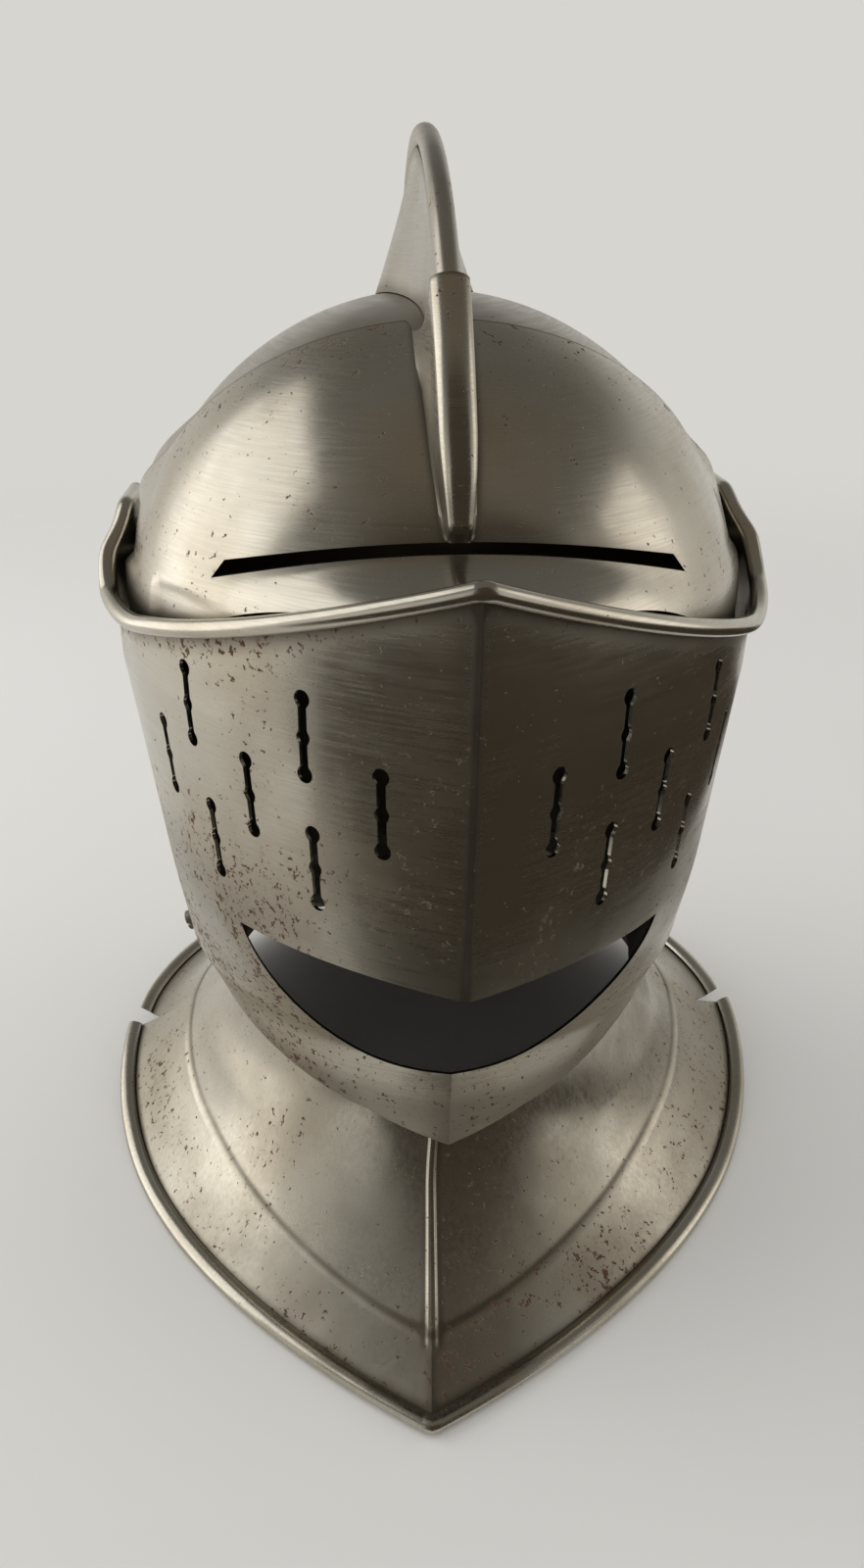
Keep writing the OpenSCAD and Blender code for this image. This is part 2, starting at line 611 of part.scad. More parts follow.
// The front plate ends further forward at its neck on the +X side
function front_uv(u, v) =
    let (k = pow(abs(u) / 91, 4))
    gorget_point(u + k * (u > 0 ? 3 * v - 10 * (1 - v) : 2 * v), v, false);

// The front ends of the rear plate run forward under the front plate at the neck
function rear_uv(u, v) =
    let (a = 180 - abs(u - 180), b = a - 29 * (1 - v) * (1 - ramp(a, 93, 122)))
    gorget_point(u > 180 ? -b : b, v, true);

module gorget_front() {
    color("silver")
        difference() {
            plate([for (turn = reversed(front_turns)) rolled_column(function (u, v) front_uv(u, v), turn, gorget_stations, -0.5)]);
            for (side = [-1, 1])
                at_side_rivet(side)
                    cylinder(r = rivet_d / 2 + 0.05, h = 24, center = true, $fn = 32);
        }
}

module gorget_front_wire() {
    color("dimgray")
        edge_wire(function (u, v) front_uv(u, v), reversed(front_turns), 1, 6, -0.5);
}

module gorget_rear() {
    color("silver")
        difference() {
            plate([for (turn = reversed(rear_plate_turns)) rolled_column(function (u, v) rear_uv(u, v), turn, gorget_stations, -0.5)]);
            for (side = [-1, 1])
                at_side_rivet(side)
                    cylinder(r = rivet_d / 2 + 0.05, h = 24, center = true, $fn = 32);
            for (turn = neck_rivet_turns)
                at_neck_rivet(turn)
                    cylinder(r = rivet_d / 2 + 0.05, h = 30, center = true, $fn = 32);
        }
}

module gorget_rear_wire() {
    color("dimgray")
        edge_wire(function (u, v) rear_uv(u, v), reversed(rear_plate_turns), 1, 6, -0.5);
}

// Side rivets join the two gorget plates where they overlap at the neck
side_rivets = [[-87.5, 0.17], [75, 0.1]];
module at_side_rivet(side) {
    place = side_rivets[side > 0 ? 1 : 0];
    f = function (u, v) gorget_point(u, v, false);
    n = normal_at(f, place[0], place[1], -3, 0.055);
    p = (f(place[0], place[1] - 0.055) + f(place[0], place[1] + 0.055)) / 2;
    translate(p + 0.1 * n)
        rotate([0, 0, atan2(n.y, n.x)])
            rotate([0, acos(n.z), 0])
                children();
}

module rivet(grip, head_r) {
    translate([0, 0, -grip])
        cylinder(r = rivet_d / 2, h = grip + 0.2, $fn = 32);
    translate([0, 0, 0.1])
        cylinder(r1 = head_r, r2 = head_r * 0.62, h = 1.5, $fn = 32);
}

module gorget_rivet_left() {
    color("dimgray")
        at_side_rivet(-1)
            rivet(collar_gap + 0.1, rivet_d * 0.95);
}

module gorget_rivet_right() {
    color("dimgray")
        at_side_rivet(1)
            rivet(collar_gap - 0.65, rivet_d * 0.95);
}

// Neck rivets hold the rear gorget plate to the bowl
neck_rivet_turns = [132, 180, -132];
neck_rivet_z = 84;
module at_neck_rivet(turn) {
    f = function (u, v) bowl_point(u, v);
    n = normal_at(f, turn, neck_rivet_z, 0.5, 2);
    translate(bowl_point(turn, neck_rivet_z))
        rotate([0, 0, atan2(n.y, n.x)])
            rotate([0, acos(n.z), 0])
                children();
}

neck_stack = 0.7 + sheet + 0.1;
module neck_rivets() {
    color("dimgray")
        for (turn = neck_rivet_turns)
            at_neck_rivet(turn)
                translate([0, 0, neck_stack])
                    rivet(neck_stack + sheet + 1.2, rivet_d * 0.95);
}

module neck_rivet_burrs() {
    color("dimgray")
        for (turn = neck_rivet_turns)
            at_neck_rivet(turn)
                translate([0, 0, -sheet - 1.4])
                    difference() {
                        cylinder(r = rivet_d * 0.9, h = 0.9, $fn = 32);
                        translate([0, 0, -1])
                            cylinder(r = rivet_d / 2 + 0.05, h = 3, $fn = 32);
                    }
}

// Temple screws, their nuts and the washers between the plates
head_r = 7;
module temple_screw(side) {
    color("gray")
        difference() {
            union() {
                temple_rod(side, seat_skull - sheet - 6.5, seat_guard + 0.5, temple_screw_d / 2);
                temple_rod(side, seat_guard + 0.15, seat_guard + 1.4, head_r);
                temple_rod(side, seat_guard + 1.4, seat_guard + 2.2, head_r - 1);
            }
            translate([side * (seat_guard + 2.2), temple_y, temple_z])
                cube([1.6, 3 * head_r, 1.1], center = true);
        }
}

module temple_screw_left() {
    temple_screw(-1);
}

module temple_screw_right() {
    temple_screw(1);
}

module temple_nut(side) {
    nut_h = 4;
    x0 = seat_skull - sheet - 1.3 - nut_h;
    color("dimgray")
        difference() {
            translate([side > 0 ? x0 : -x0 - nut_h, temple_y - 5, temple_z - 5])
                cube([nut_h, 10, 10]);
            temple_bores();
        }
}

module temple_nut_left() {
    temple_nut(-1);
}

module temple_nut_right() {
    temple_nut(1);
}

module temple_washer(side, x0, x1, r) {
    color("dimgray")
        difference() {
            temple_rod(side, x0, x1, r);
            temple_bores();
        }
}

module inner_washer_left() {
    temple_washer(-1, seat_skull + 0.05, seat_visor - sheet - 0.4, 10);
}

module inner_washer_right() {
    temple_washer(1, seat_skull + 0.05, seat_visor - sheet - 0.4, 10);
}

module outer_washer_left() {
    temple_washer(-1, seat_visor + 0.4, seat_guard - sheet - 0.14, 6.6);
}

module outer_washer_right() {
    temple_washer(1, seat_visor + 0.4, seat_guard - sheet - 0.14, 6.6);
}

// Locking screw at the jaw with its washer outside the guard and its nut inside the bowl
module lock_screw() {
    color("gray")
        at_lock()
            difference() {
                union() {
                    translate([0, 0, -nut_depth - lock_nut_h - 2])
                        cylinder(r = lock_screw_d / 2, h = nut_depth + lock_nut_h + 4.5, $fn = 32);
                    translate([0, 0, 2.3])
                        cylinder(r = 3.9, h = 3, $fn = 32);
                }
                translate([0, 0, 5.3])
                    cube([10, 1.2, 2.4], center = true);
            }
}

module lock_washer() {
    color("dimgray")
        at_lock()
            translate([0, 0, 0.9])
                difference() {
                    cylinder(r = 6, h = 1.3, $fn = 48);
                    translate([0, 0, -1])
                        cylinder(r = lock_screw_d / 2 + 0.06, h = 4, $fn = 32);
                }
}

module lock_collar() {
    color("dimgray")
        at_lock()
            translate([0, 0, 0.6 - lock_depth])
                difference() {
                    cylinder(r = 4.6, h = lock_depth - 3, $fn = 32);
                    translate([0, 0, -1])
                        cylinder(r = lock_screw_d / 2 + 0.06, h = lock_depth, $fn = 32);
                }
}

module lock_nut() {
    color("dimgray")
        at_lock()
            translate([-4, -4, -nut_depth - lock_nut_h])
                difference() {
                    cube([8, 8, lock_nut_h]);
                    translate([4, 4, -1])
                        cylinder(r = lock_screw_d / 2 + 0.06, h = 7, $fn = 32);
                }
}

skull();
comb();
crest_bead();
visor();
face_guard();
guard_rim_wire();
gorget_front();
gorget_front_wire();
gorget_rear();
gorget_rear_wire();
temple_screw_left();
temple_screw_right();
temple_nut_left();
temple_nut_right();
inner_washer_left();
inner_washer_right();
outer_washer_left();
outer_washer_right();
lock_screw();
lock_washer();
lock_collar();
lock_nut();
gorget_rivet_left();
gorget_rivet_right();
neck_rivets();
neck_rivet_burrs();
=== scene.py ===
# %% [markdown]
# A close helmet of old polished steel. It has a high comb, a visor that lifts, a face guard with
# breath slots and a mouth opening, and a gorget of two plates that it stands on. Every plate is one
# curved sheet, so each is a function of two parameters, worked out with numpy and given a thickness.
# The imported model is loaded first, as the frame that every piece has to fit.

# %% Frame and libraries
import json
import math

import bmesh
import bpy
import numpy as np
from mathutils import Matrix, Vector

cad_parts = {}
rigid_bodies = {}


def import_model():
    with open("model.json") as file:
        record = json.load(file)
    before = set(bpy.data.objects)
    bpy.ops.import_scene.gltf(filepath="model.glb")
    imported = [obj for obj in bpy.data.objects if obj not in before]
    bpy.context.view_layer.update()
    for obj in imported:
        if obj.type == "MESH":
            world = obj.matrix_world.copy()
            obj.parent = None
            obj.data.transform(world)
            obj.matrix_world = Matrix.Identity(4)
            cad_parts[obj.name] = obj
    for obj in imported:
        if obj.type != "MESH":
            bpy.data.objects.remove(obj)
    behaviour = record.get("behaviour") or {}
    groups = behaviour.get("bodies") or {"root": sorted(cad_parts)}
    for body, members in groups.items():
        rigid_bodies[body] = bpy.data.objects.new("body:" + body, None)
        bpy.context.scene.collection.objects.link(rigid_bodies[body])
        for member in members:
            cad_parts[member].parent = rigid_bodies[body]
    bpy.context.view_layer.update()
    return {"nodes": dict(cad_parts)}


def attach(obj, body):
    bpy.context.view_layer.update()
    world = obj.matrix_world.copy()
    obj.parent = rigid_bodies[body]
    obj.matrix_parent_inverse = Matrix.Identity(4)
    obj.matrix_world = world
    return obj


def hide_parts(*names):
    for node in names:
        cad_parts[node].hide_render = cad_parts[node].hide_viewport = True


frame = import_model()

MM = 0.001
print("nodes in the frame:", len(frame["nodes"]))

# %% [markdown]
# The driving dimensions repeat those of the solid model, in millimetres, with the front towards -Y
# and +Z up. The temple screws lie on one axis along X, and everything that lifts turns about it.

# %% Driving dimensions
SHEET = 1.2
ROLL_R = 3.0
BOWL_HALF_W, BOWL_HALF_L, BOWL_RISE = 107.0, 123.0, 115.0
EQUATOR_Z, BOWL_EDGE_Z, BOWL_MID_Y = 212.0, 78.0, 4.25
BOWL_NECK_HALF_W, BOWL_NECK_HALF_L = 80.0, 97.0
TEMPLE_BACK, TEMPLE_Z = 12.0, 245.0
TEMPLE_Y = BOWL_MID_Y + TEMPLE_BACK
CREST_R, CREST_REAR_R, CREST_BEAD_R = 131.5, 114.0, 3.6
VISOR_GAP, RIDGE_GAP = 0.8, 0.9
VISOR_GROW = VISOR_GAP + SHEET
SEAT_INSET, PLATE_PLAY, GUARD_PLAY = 8.0, 0.7, 2.2
SEAT_SKULL = BOWL_HALF_W - SEAT_INSET
SEAT_VISOR = SEAT_SKULL + VISOR_GAP + PLATE_PLAY + SHEET
SEAT_GUARD = SEAT_VISOR + GUARD_PLAY + SHEET

# %% [markdown]
# A few small functions are used by every surface. `ramp` goes smoothly from 0 to 1 between two
# values, which lets one formula change into another without a crease.

# %% Small helpers
def mix(a, b, t):
    """a + (b - a) t"""
    return a + (b - a) * t


def clamp(t):
    """t held between 0 and 1."""
    return np.clip(t, 0.0, 1.0)


def ease(t):
    """3 t^2 - 2 t^3 of t held between 0 and 1."""
    c = clamp(t)
    return c * c * (3 - 2 * c)


def ramp(value, low, high):
    """Smooth step from 0 at low to 1 at high."""
    return ease((value - low) / (high - low))


def sind(a):
    return np.sin(np.radians(a))


def cosd(a):
    return np.cos(np.radians(a))


def point(x, y, z):
    """Stacks three arrays, broadcast to one shape, as points."""
    return np.stack(np.broadcast_arrays(x, y, z), axis=-1).astype(float)


def unit(v):
    """v divided by its length."""
    return v / np.linalg.norm(v, axis=-1, keepdims=True)


def spaced(start, *stretches):
    """Values from the start on, evenly spaced over each stretch of an end and a count of steps."""
    values = [np.array([float(start)])]
    for end, steps in stretches:
        values.append(np.linspace(values[-1][-1], end, steps + 1)[1:])
    return np.concatenate(values)


def normal_at(f, u, v, du, dv):
    """Cross product of the steps along u and along v, made 1 long."""
    return unit(np.cross(f(u + du, v) - f(u - du, v), f(u, v + dv) - f(u, v - dv)))


# %% [markdown]
# A sheet is drawn as a ring of points per column: up one face and back down the other. Neighbouring
# rings are joined by quads and the two end rings are closed, so the sheet is a solid with no stray
# face. Two more numbers travel with each point in a UV map of wear and painted shade: how much grime
# and painted shade sits there (the shade in creases, hollows and on inner faces), and how much rust.
# The materials read them later.

# %% Rings to a mesh
MERGE = 0.001 * MM


def ring_faces(count, size, closed, skip):
    """Quads between ring i and ring i + 1, for each side j that isn't skipped, and the end caps."""
    j = np.array([k for k in range(size) if k not in skip])
    i = np.arange(count if closed else count - 1)
    i, j = np.meshgrid(i, j, indexing="ij")
    a = i * size + j
    b = i * size + (j + 1) % size
    c = ((i + 1) % count) * size + (j + 1) % size
    d = ((i + 1) % count) * size + j
    faces = [np.stack([a, b, c, d], -1).reshape(-1, 4)]
    if not closed:
        k = np.arange(size // 2 - 1)
        cap = np.stack([k, size - 1 - k, size - 2 - k, k + 1], -1)
        faces += [cap, cap[:, ::-1] + (count - 1) * size]
    return np.concatenate(faces)


def wear_and_shade_of(grime_and_shade, rust):
    """Map values between 0 and 1, from grime with painted shade and from rust, of shapes that fit each other.
    """
    return np.stack(np.broadcast_arrays(clamp(grime_and_shade), clamp(rust)), -1)


def linked(name, data):
    """A new object of the data, linked into the scene."""
    made = bpy.data.objects.new(name, data)
    bpy.context.scene.collection.objects.link(made)
    return made


def make_piece(name, rings, wear_and_shade, closed=False, skip=()):
    """A mesh object with its place in its mesh, its faces turned outwards, and the UV map of wear and painted
    shade.
    """
    faces = ring_faces(*rings.shape[:2], closed, skip)
    points = rings.reshape(-1, 3)
    p = points[faces]
    volume = np.einsum("ij,ij->i", p[:, 0], np.cross(p[:, 1], p[:, 2])).sum()
    volume += np.einsum("ij,ij->i", p[:, 0], np.cross(p[:, 2], p[:, 3])).sum()
    if volume < 0:
        faces = faces[:, ::-1]
    mesh = bpy.data.meshes.new(name)
    mesh.from_pydata((points * MM).tolist(), [], faces.tolist())
    corner = np.empty(len(mesh.loops), np.int32)
    mesh.loops.foreach_get("vertex_index", corner)
    values = np.broadcast_to(wear_and_shade, (*rings.shape[:2], 2)).reshape(-1, 2)
    mesh.uv_layers.new(name="Wear").data.foreach_set("uv", values[corner].ravel())
    merged = bmesh.new()
    merged.from_mesh(mesh)
    bmesh.ops.remove_doubles(merged, verts=merged.verts, dist=MERGE)
    merged.to_mesh(mesh)
    merged.free()
    print(name, "has", len(mesh.polygons), "faces")
    return linked(name, mesh)


def smooth(piece, angle=35):
    """Shades a piece smooth, with edges sharper than the angle kept crisp."""
    piece.data.polygons.foreach_set("use_smooth", [True] * len(piece.data.polygons))
    piece.data.set_sharp_from_angle(angle=math.radians(angle))
    return piece


# %% [markdown]
# Openings are cut with a Boolean modifier, which is applied at once so that the cutter can go. A
# cutter is a flat outline pushed along a direction.

# %% Cutting
def prism(outline, along):
    """Solid between an outline and the same outline moved by a vector: points and faces."""
    n = len(outline)
    points = np.concatenate([outline, outline + along])
    k = np.arange(n)
    sides = [[a, b, b + n, a + n] for a, b in zip(k, (k + 1) % n)]
    return points, sides + [list(k[::-1]), list(k + n)]


def cut(piece, solids):
    """Takes prisms out of a piece with a Boolean."""
    points, faces, first = [], [], 0
    for solid_points, solid_faces in solids:
        points.append(solid_points)
        faces += [[int(i) + first for i in face] for face in solid_faces]
        first += len(solid_points)
    mesh = bpy.data.meshes.new("cutter")
    mesh.from_pydata((np.concatenate(points) * MM).tolist(), [], faces)
    turned = bmesh.new()
    turned.from_mesh(mesh)
    bmesh.ops.recalc_face_normals(turned, faces=turned.faces)
    turned.to_mesh(mesh)
    turned.free()
    cutter = linked("cutter", mesh)
    modifier = piece.modifiers.new("cut", "BOOLEAN")
    modifier.operation = "DIFFERENCE"
    modifier.solver = "MANIFOLD"
    modifier.object = cutter
    graph = bpy.context.evaluated_depsgraph_get()
    result = bpy.data.meshes.new_from_object(piece.evaluated_get(graph), preserve_all_data_layers=True,
                                             depsgraph=graph)
    piece.modifiers.clear()
    piece.data = result
    bpy.data.objects.remove(cutter)
    print(piece.name, "after cutting:", len(result.polygons), "faces")
    return piece


# %% [markdown]
# The bowl is an ellipsoid above its widest level. Below it the sides draw in towards the neck. Round
# the temple screws every plate has a flat seat, so that the screws clamp flat metal.

# %% Bowl surface
def outline(half_w, front, back, keel, mid_y, turn):
    """Ellipse in plan with a keel in front: x = w sin, y = mid - (front cos + keel (1 - |sin|)^2)."""
    c, s = cosd(turn), sind(turn)
    forward = front * c + keel * (1 - np.abs(s)) ** 2
    return half_w * s, mid_y - np.where(c >= 0, forward, back * c)


def seated(x, y, z, seat, flat_r=17.5, blend_r=46.0):
    """Moves |x| to the seat's value near the temple axis, and leaves it beyond blend_r."""
    t = ramp(np.hypot(y - TEMPLE_Y, z - TEMPLE_Z), flat_r, blend_r)
    return point(np.sign(x) * mix(seat, np.abs(x), t), y, z)


def neck_fall(z):
    """0 at the widest level, 1 at the bowl's lower edge."""
    return clamp((EQUATOR_Z - z) / (EQUATOR_Z - BOWL_EDGE_Z))


def bowl_half(z):
    """Half width at a height below the widest level."""
    return mix(BOWL_HALF_W, BOWL_NECK_HALF_W, neck_fall(z) ** 1.5)


def bowl_len(z):
    """Half length at a height below the widest level."""
    return mix(BOWL_HALF_L, BOWL_NECK_HALF_L, neck_fall(z) ** 1.6)


def bowl_point(turn, z, grow=0.0):
    """Ellipse at each height: half axes shrink as sqrt(1 - (rise)^2) above the widest level."""
    c = np.sqrt(np.maximum(0, 1 - (np.maximum(z - EQUATOR_Z, 0) / (BOWL_RISE + grow)) ** 2))
    half_w = np.where(z > EQUATOR_Z, BOWL_HALF_W * c, bowl_half(z)) + grow * c
    half_l = np.where(z > EQUATOR_Z, BOWL_HALF_L * c, bowl_len(z)) + grow * c
    x, y = outline(half_w, half_l, half_l, 0, BOWL_MID_Y, turn)
    return seated(x, y, z, SEAT_SKULL + grow)


# %% Skull
def face_opening():
    """Side outline of the face opening, pushed across the whole width."""
    far = 2 * BOWL_HALF_L
    cheek_y, brow_z = BOWL_MID_Y - 42, 286
    side = [(-far, BOWL_EDGE_Z - 10), (cheek_y, BOWL_EDGE_Z - 10), (cheek_y, BOWL_EDGE_Z + 40),
            (cheek_y + 16, EQUATOR_Z - 30), (cheek_y + 18, EQUATOR_Z + 22), (cheek_y - 4, EQUATOR_Z + 56),
            (cheek_y - 34, brow_z), (-far, brow_z + 6)]
    flat = np.array([[-far, y, z] for y, z in side], float)
    return prism(flat, np.array([2 * far, 0, 0]))


def make_skull():
    """Two ellipsoid faces, one sheet apart, that meet along the lower edge."""
    turns = np.linspace(0, 360, 241)[:-1][:, None]
    lat = np.linspace(0, 90, 70)[None, 1:]
    below = np.linspace(BOWL_EDGE_Z, EQUATOR_Z, 44)[None, :]
    z_out = np.concatenate([below, EQUATOR_Z + BOWL_RISE * sind(lat)], 1)
    z_in = np.concatenate([below, EQUATOR_Z + (BOWL_RISE - SHEET) * sind(lat)], 1)
    outer = bowl_point(turns, z_out)
    inner = bowl_point(turns, z_in, -SHEET)
    rings = np.concatenate([outer, inner[:, ::-1]], 1)
    # Painted shade at the comb's foot on the crown; the inner face is partly painted shade, partly a dark
    # interior.
    grime_and_shade = 0.25 + 0.6 * ramp(np.abs(sind(turns)), 0.3, 0.0) * ramp(z_out, 300, 322)
    wear_and_shade = wear_and_shade_of(np.concatenate([grime_and_shade, np.full_like(grime_and_shade, 0.8)], 1), 0.35)
    skull = make_piece("skull_shell", rings, wear_and_shade, closed=True, skip=(rings.shape[1] // 2 - 1,))
    return cut(skull, [face_opening()])


skull = smooth(make_skull())
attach(skull, "helmet")
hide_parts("skull")

# %% [markdown]
# The comb is a hollow blade over the crown. Its crest line is one arc about the temple axis and a
# smaller one down to the nape, and a round bead closes it along the top. A half disc would do from
# far off, but its foot wouldn't follow the bowl.

# %% Crest line
def bowl_radius(angle, x, grow=0.0):
    """Distance from the temple axis to the ellipsoid, from the quadratic for a ray at an angle."""
    c2 = np.maximum(0.0001, 1 - (x / (BOWL_HALF_W + grow)) ** 2)
    len2, high2 = (BOWL_HALF_L + grow) ** 2 * c2, (BOWL_RISE + grow) ** 2 * c2
    dy, dz = -cosd(angle), sind(angle)
    oy, oz = TEMPLE_Y - BOWL_MID_Y, TEMPLE_Z - EQUATOR_Z
    a = dy * dy / len2 + dz * dz / high2
    b = oy * dy / len2 + oz * dz / high2
    c = oy * oy / len2 + oz * oz / high2 - 1
    return (-b + np.sqrt(np.maximum(0, b * b - a * c))) / a


def on_arc(angle, x, r):
    """Point at a radius and an angle about the temple axis."""
    return point(x, TEMPLE_Y - r * cosd(angle), TEMPLE_Z + r * sind(angle))


REAR_DROP = CREST_R - CREST_REAR_R


def crest_radius(angle):
    """Radius of the crest: constant in front, then the ray's distance to the smaller arc."""
    rear = REAR_DROP * sind(angle) + np.sqrt(CREST_REAR_R ** 2 - (REAR_DROP * cosd(angle)) ** 2)
    return np.where(angle <= 90, CREST_R, rear)


COMB_START, COMB_END = 41.0, 182.0
COMB_NECK, COMB_FOOT = 3.0, 17.0

# %% Comb
def comb_side(angle, wall, t):
    """Flank of the comb: half width foot to neck as (1 - t)^1.2, height from bowl to bead."""
    foot = mix(4, COMB_FOOT, ramp(angle, 55, 95)) * mix(1, 0.4, ramp(angle, 120, COMB_END))
    neck = COMB_NECK - wall
    top = np.maximum(crest_radius(angle) - 2 * CREST_BEAD_R - 0.05, bowl_radius(angle, 0) + 1.8) - wall
    x = neck + (foot - wall - neck) * (1 - t) ** 1.2
    return x, mix(bowl_radius(angle, foot - wall, 0.3), top, t)


def make_comb():
    """Rings of both flanks outside, then both flanks inside."""
    angle = np.linspace(COMB_START, COMB_END, 150)[:, None]
    t = np.linspace(0, 1, 26)[None, :]
    loops = []
    for wall in (0.0, SHEET):
        x, r = comb_side(angle, wall, t)
        loops.append(np.concatenate([on_arc(angle, -x, r), on_arc(angle, x, r)[:, ::-1]], 1))
    rings = np.concatenate([loops[0], loops[1][:, ::-1]], 1)
    # Painted shade at the comb's foot on the bowl and in the crease under the bead, inside as outside.
    grime_and_shade = 0.25 + 0.6 * (1 - ramp(t, 0, 0.14)) + 0.5 * ramp(t, 0.9, 1.0)
    grime_and_shade = np.concatenate([grime_and_shade, grime_and_shade[:, ::-1]] * 2, 1)
    return make_piece("comb_blade", rings, wear_and_shade_of(grime_and_shade, 0.5))


comb = smooth(make_comb())
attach(comb, "helmet")
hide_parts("comb")

# %% Crest bead
TUBE_SIDES = 20


def tube(name, path, radius, wear_and_shade):
    """Circle of the radius carried along a path of points, with closed ends."""
    along = unit(np.gradient(path, axis=0))
    side = np.zeros_like(along)
    side[:, 0] = 1
    side = unit(side - (side * along).sum(1, keepdims=True) * along)
    other = np.cross(along, side)
    a = (np.arange(TUBE_SIDES) * 360 / TUBE_SIDES)[None, :, None]
    rings = path[:, None] + radius * (cosd(a) * side[:, None] + sind(a) * other[:, None])
    return make_piece(name, rings, wear_and_shade)


rear_angle, rear_r = np.linspace(90, 180, 90), CREST_REAR_R - CREST_BEAD_R
front_arc = on_arc(np.linspace(COMB_START, 90, 80), 0, CREST_R - CREST_BEAD_R)
rear_arc = point(0, TEMPLE_Y - rear_r * cosd(rear_angle), TEMPLE_Z + REAR_DROP + rear_r * sind(rear_angle))
bead_path = np.concatenate([front_arc, rear_arc[1:]])
crest_bead = smooth(tube("crest_bead_rod", bead_path, CREST_BEAD_R, (0.2, 0.5)))
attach(crest_bead, "helmet")
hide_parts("crest_bead")

# %% [markdown]
# The face guard is one sheet wrapped round the front: an ellipse with a sharp keel in plan. The old
# piece is slightly twisted, so the keel leans to one side. Its upper edge flares outwards and is
# rolled over a wire. It could be sculpted, but a formula keeps it clear of the bowl everywhere.

# %% Guard surface
GUARD_ROOM, GUARD_TWIST = 4.9, 1.9
GUARD_HALF_W, GUARD_BACK = BOWL_HALF_W + GUARD_ROOM, BOWL_HALF_L + 7
PROW_REACH, CHIN_REACH, PROW_KEEL, CHIN_KEEL = 144.0, 107.0, 24.0, 8.0
BROW_Z, CHIN_Z, CREASE_Z, TWIST_Z = 265.5, 58.0, 100.0, 180.0
CREASE_HALF_W, DOME_Z, DOME_RISE = GUARD_HALF_W - 14, EQUATOR_Z + 10, 119.0
CHEEK_FALL, CHEEK_RISE, EAR_RISE = 39.0, 8.6, 23.0
FLARE, FLARE_RISE = 1.4, 22.0
GUARD_END, NECK_DRAW = 101.5, 9.0


def twisted(p):
    """Shears the front: x gains k (z - middle) and z loses k x, with k fading towards the back."""
    k = math.tan(math.radians(GUARD_TWIST)) * ramp(BOWL_MID_Y - p[..., 1], 5, 75)
    return point(p[..., 0] + k * (p[..., 2] - TWIST_Z), p[..., 1], p[..., 2] - k * p[..., 0])


def guard_half(z):
    """Half width: round above the widest level, a straight taper below it, steeper at the chin."""
    high = GUARD_HALF_W * np.sqrt(1 - clamp((z - DOME_Z) / DOME_RISE) ** 2)
    middle = mix(CREASE_HALF_W, GUARD_HALF_W, (z - CREASE_Z) / (EQUATOR_Z - CREASE_Z))
    low = CREASE_HALF_W - 0.5 * (CREASE_Z - z)
    return np.where(z > EQUATOR_Z, high, np.where(z > CREASE_Z, middle, low))


def guard_bare(turn, z, grow):
    """Keeled ellipse whose reach goes from the chin's to the prow's."""
    s = ramp(z, 88, 142)
    front = mix(CHIN_REACH - CHIN_KEEL, PROW_REACH - PROW_KEEL, s)
    keel = mix(CHIN_KEEL, PROW_KEEL, s)
    x, y = outline(guard_half(z) + grow, front + grow, GUARD_BACK + grow, keel, BOWL_MID_Y, turn)
    return point(x, y, z)


def guard_top(turn):
    """Height of the upper edge: it falls from the brow to the cheeks and rises behind them."""
    a = np.abs(turn)
    falling = BROW_Z - CHEEK_FALL * sind(np.minimum(a, 90))
    return falling + CHEEK_RISE * ramp(a, 58, 84) + EAR_RISE * ramp(a, 74.5, 91)


def guard_bottom(turn):
    """Height of the lower edge, lowest under the chin."""
    a = np.abs(turn)
    return CHIN_Z + 8 * clamp(a / 20) + 16 * ramp(a, 15, 75)


def guard_flare(turn, z):
    """Outward flare that grows with the square of the height, close under the upper edge."""
    a = np.abs(turn)
    near_top = clamp((z - guard_top(turn) + FLARE_RISE) / FLARE_RISE) ** 2
    return FLARE * ramp(a, 15, 60) * (1 - ramp(a, 86, 98)) * near_top


def guard_point(turn, z):
    """Point of the outer face at a turn and a height, flat round the temple screw."""
    p = twisted(guard_bare(turn, z, guard_flare(turn, z)))
    return seated(p[..., 0], p[..., 1], p[..., 2], SEAT_GUARD, flat_r=16.5, blend_r=30)


def guard_uv(turn, v):
    """v = 0 at the lower edge and 1 at the upper; the rear edge runs forward towards the neck."""
    z = mix(guard_bottom(turn), guard_top(turn), v)
    a = np.abs(turn)
    forward = NECK_DRAW * ramp(a, 62, GUARD_END) * (1 - ramp(z, 100, 225))
    return guard_point(np.sign(turn) * (a - forward), z)


# %% [markdown]
# A rolled edge is the same for the guard and the gorget. The sheet goes on as a circle round the
# wire's place, on the outer side, and comes back one sheet thinner. A half circle rounds its lip.

# %% Rolled sheet
ROLL_FROM, ROLL_TO, STEP_V = 160, -112, 0.004
# Curl values of grime and rust: painted shade inside the curl round the wire, less at its lip, little
# outside.
CURL_INSIDE, CURL_LIP, CURL_OUTSIDE = (1.0, 0.7), (0.45, 0.4), (0.12, 0.35)


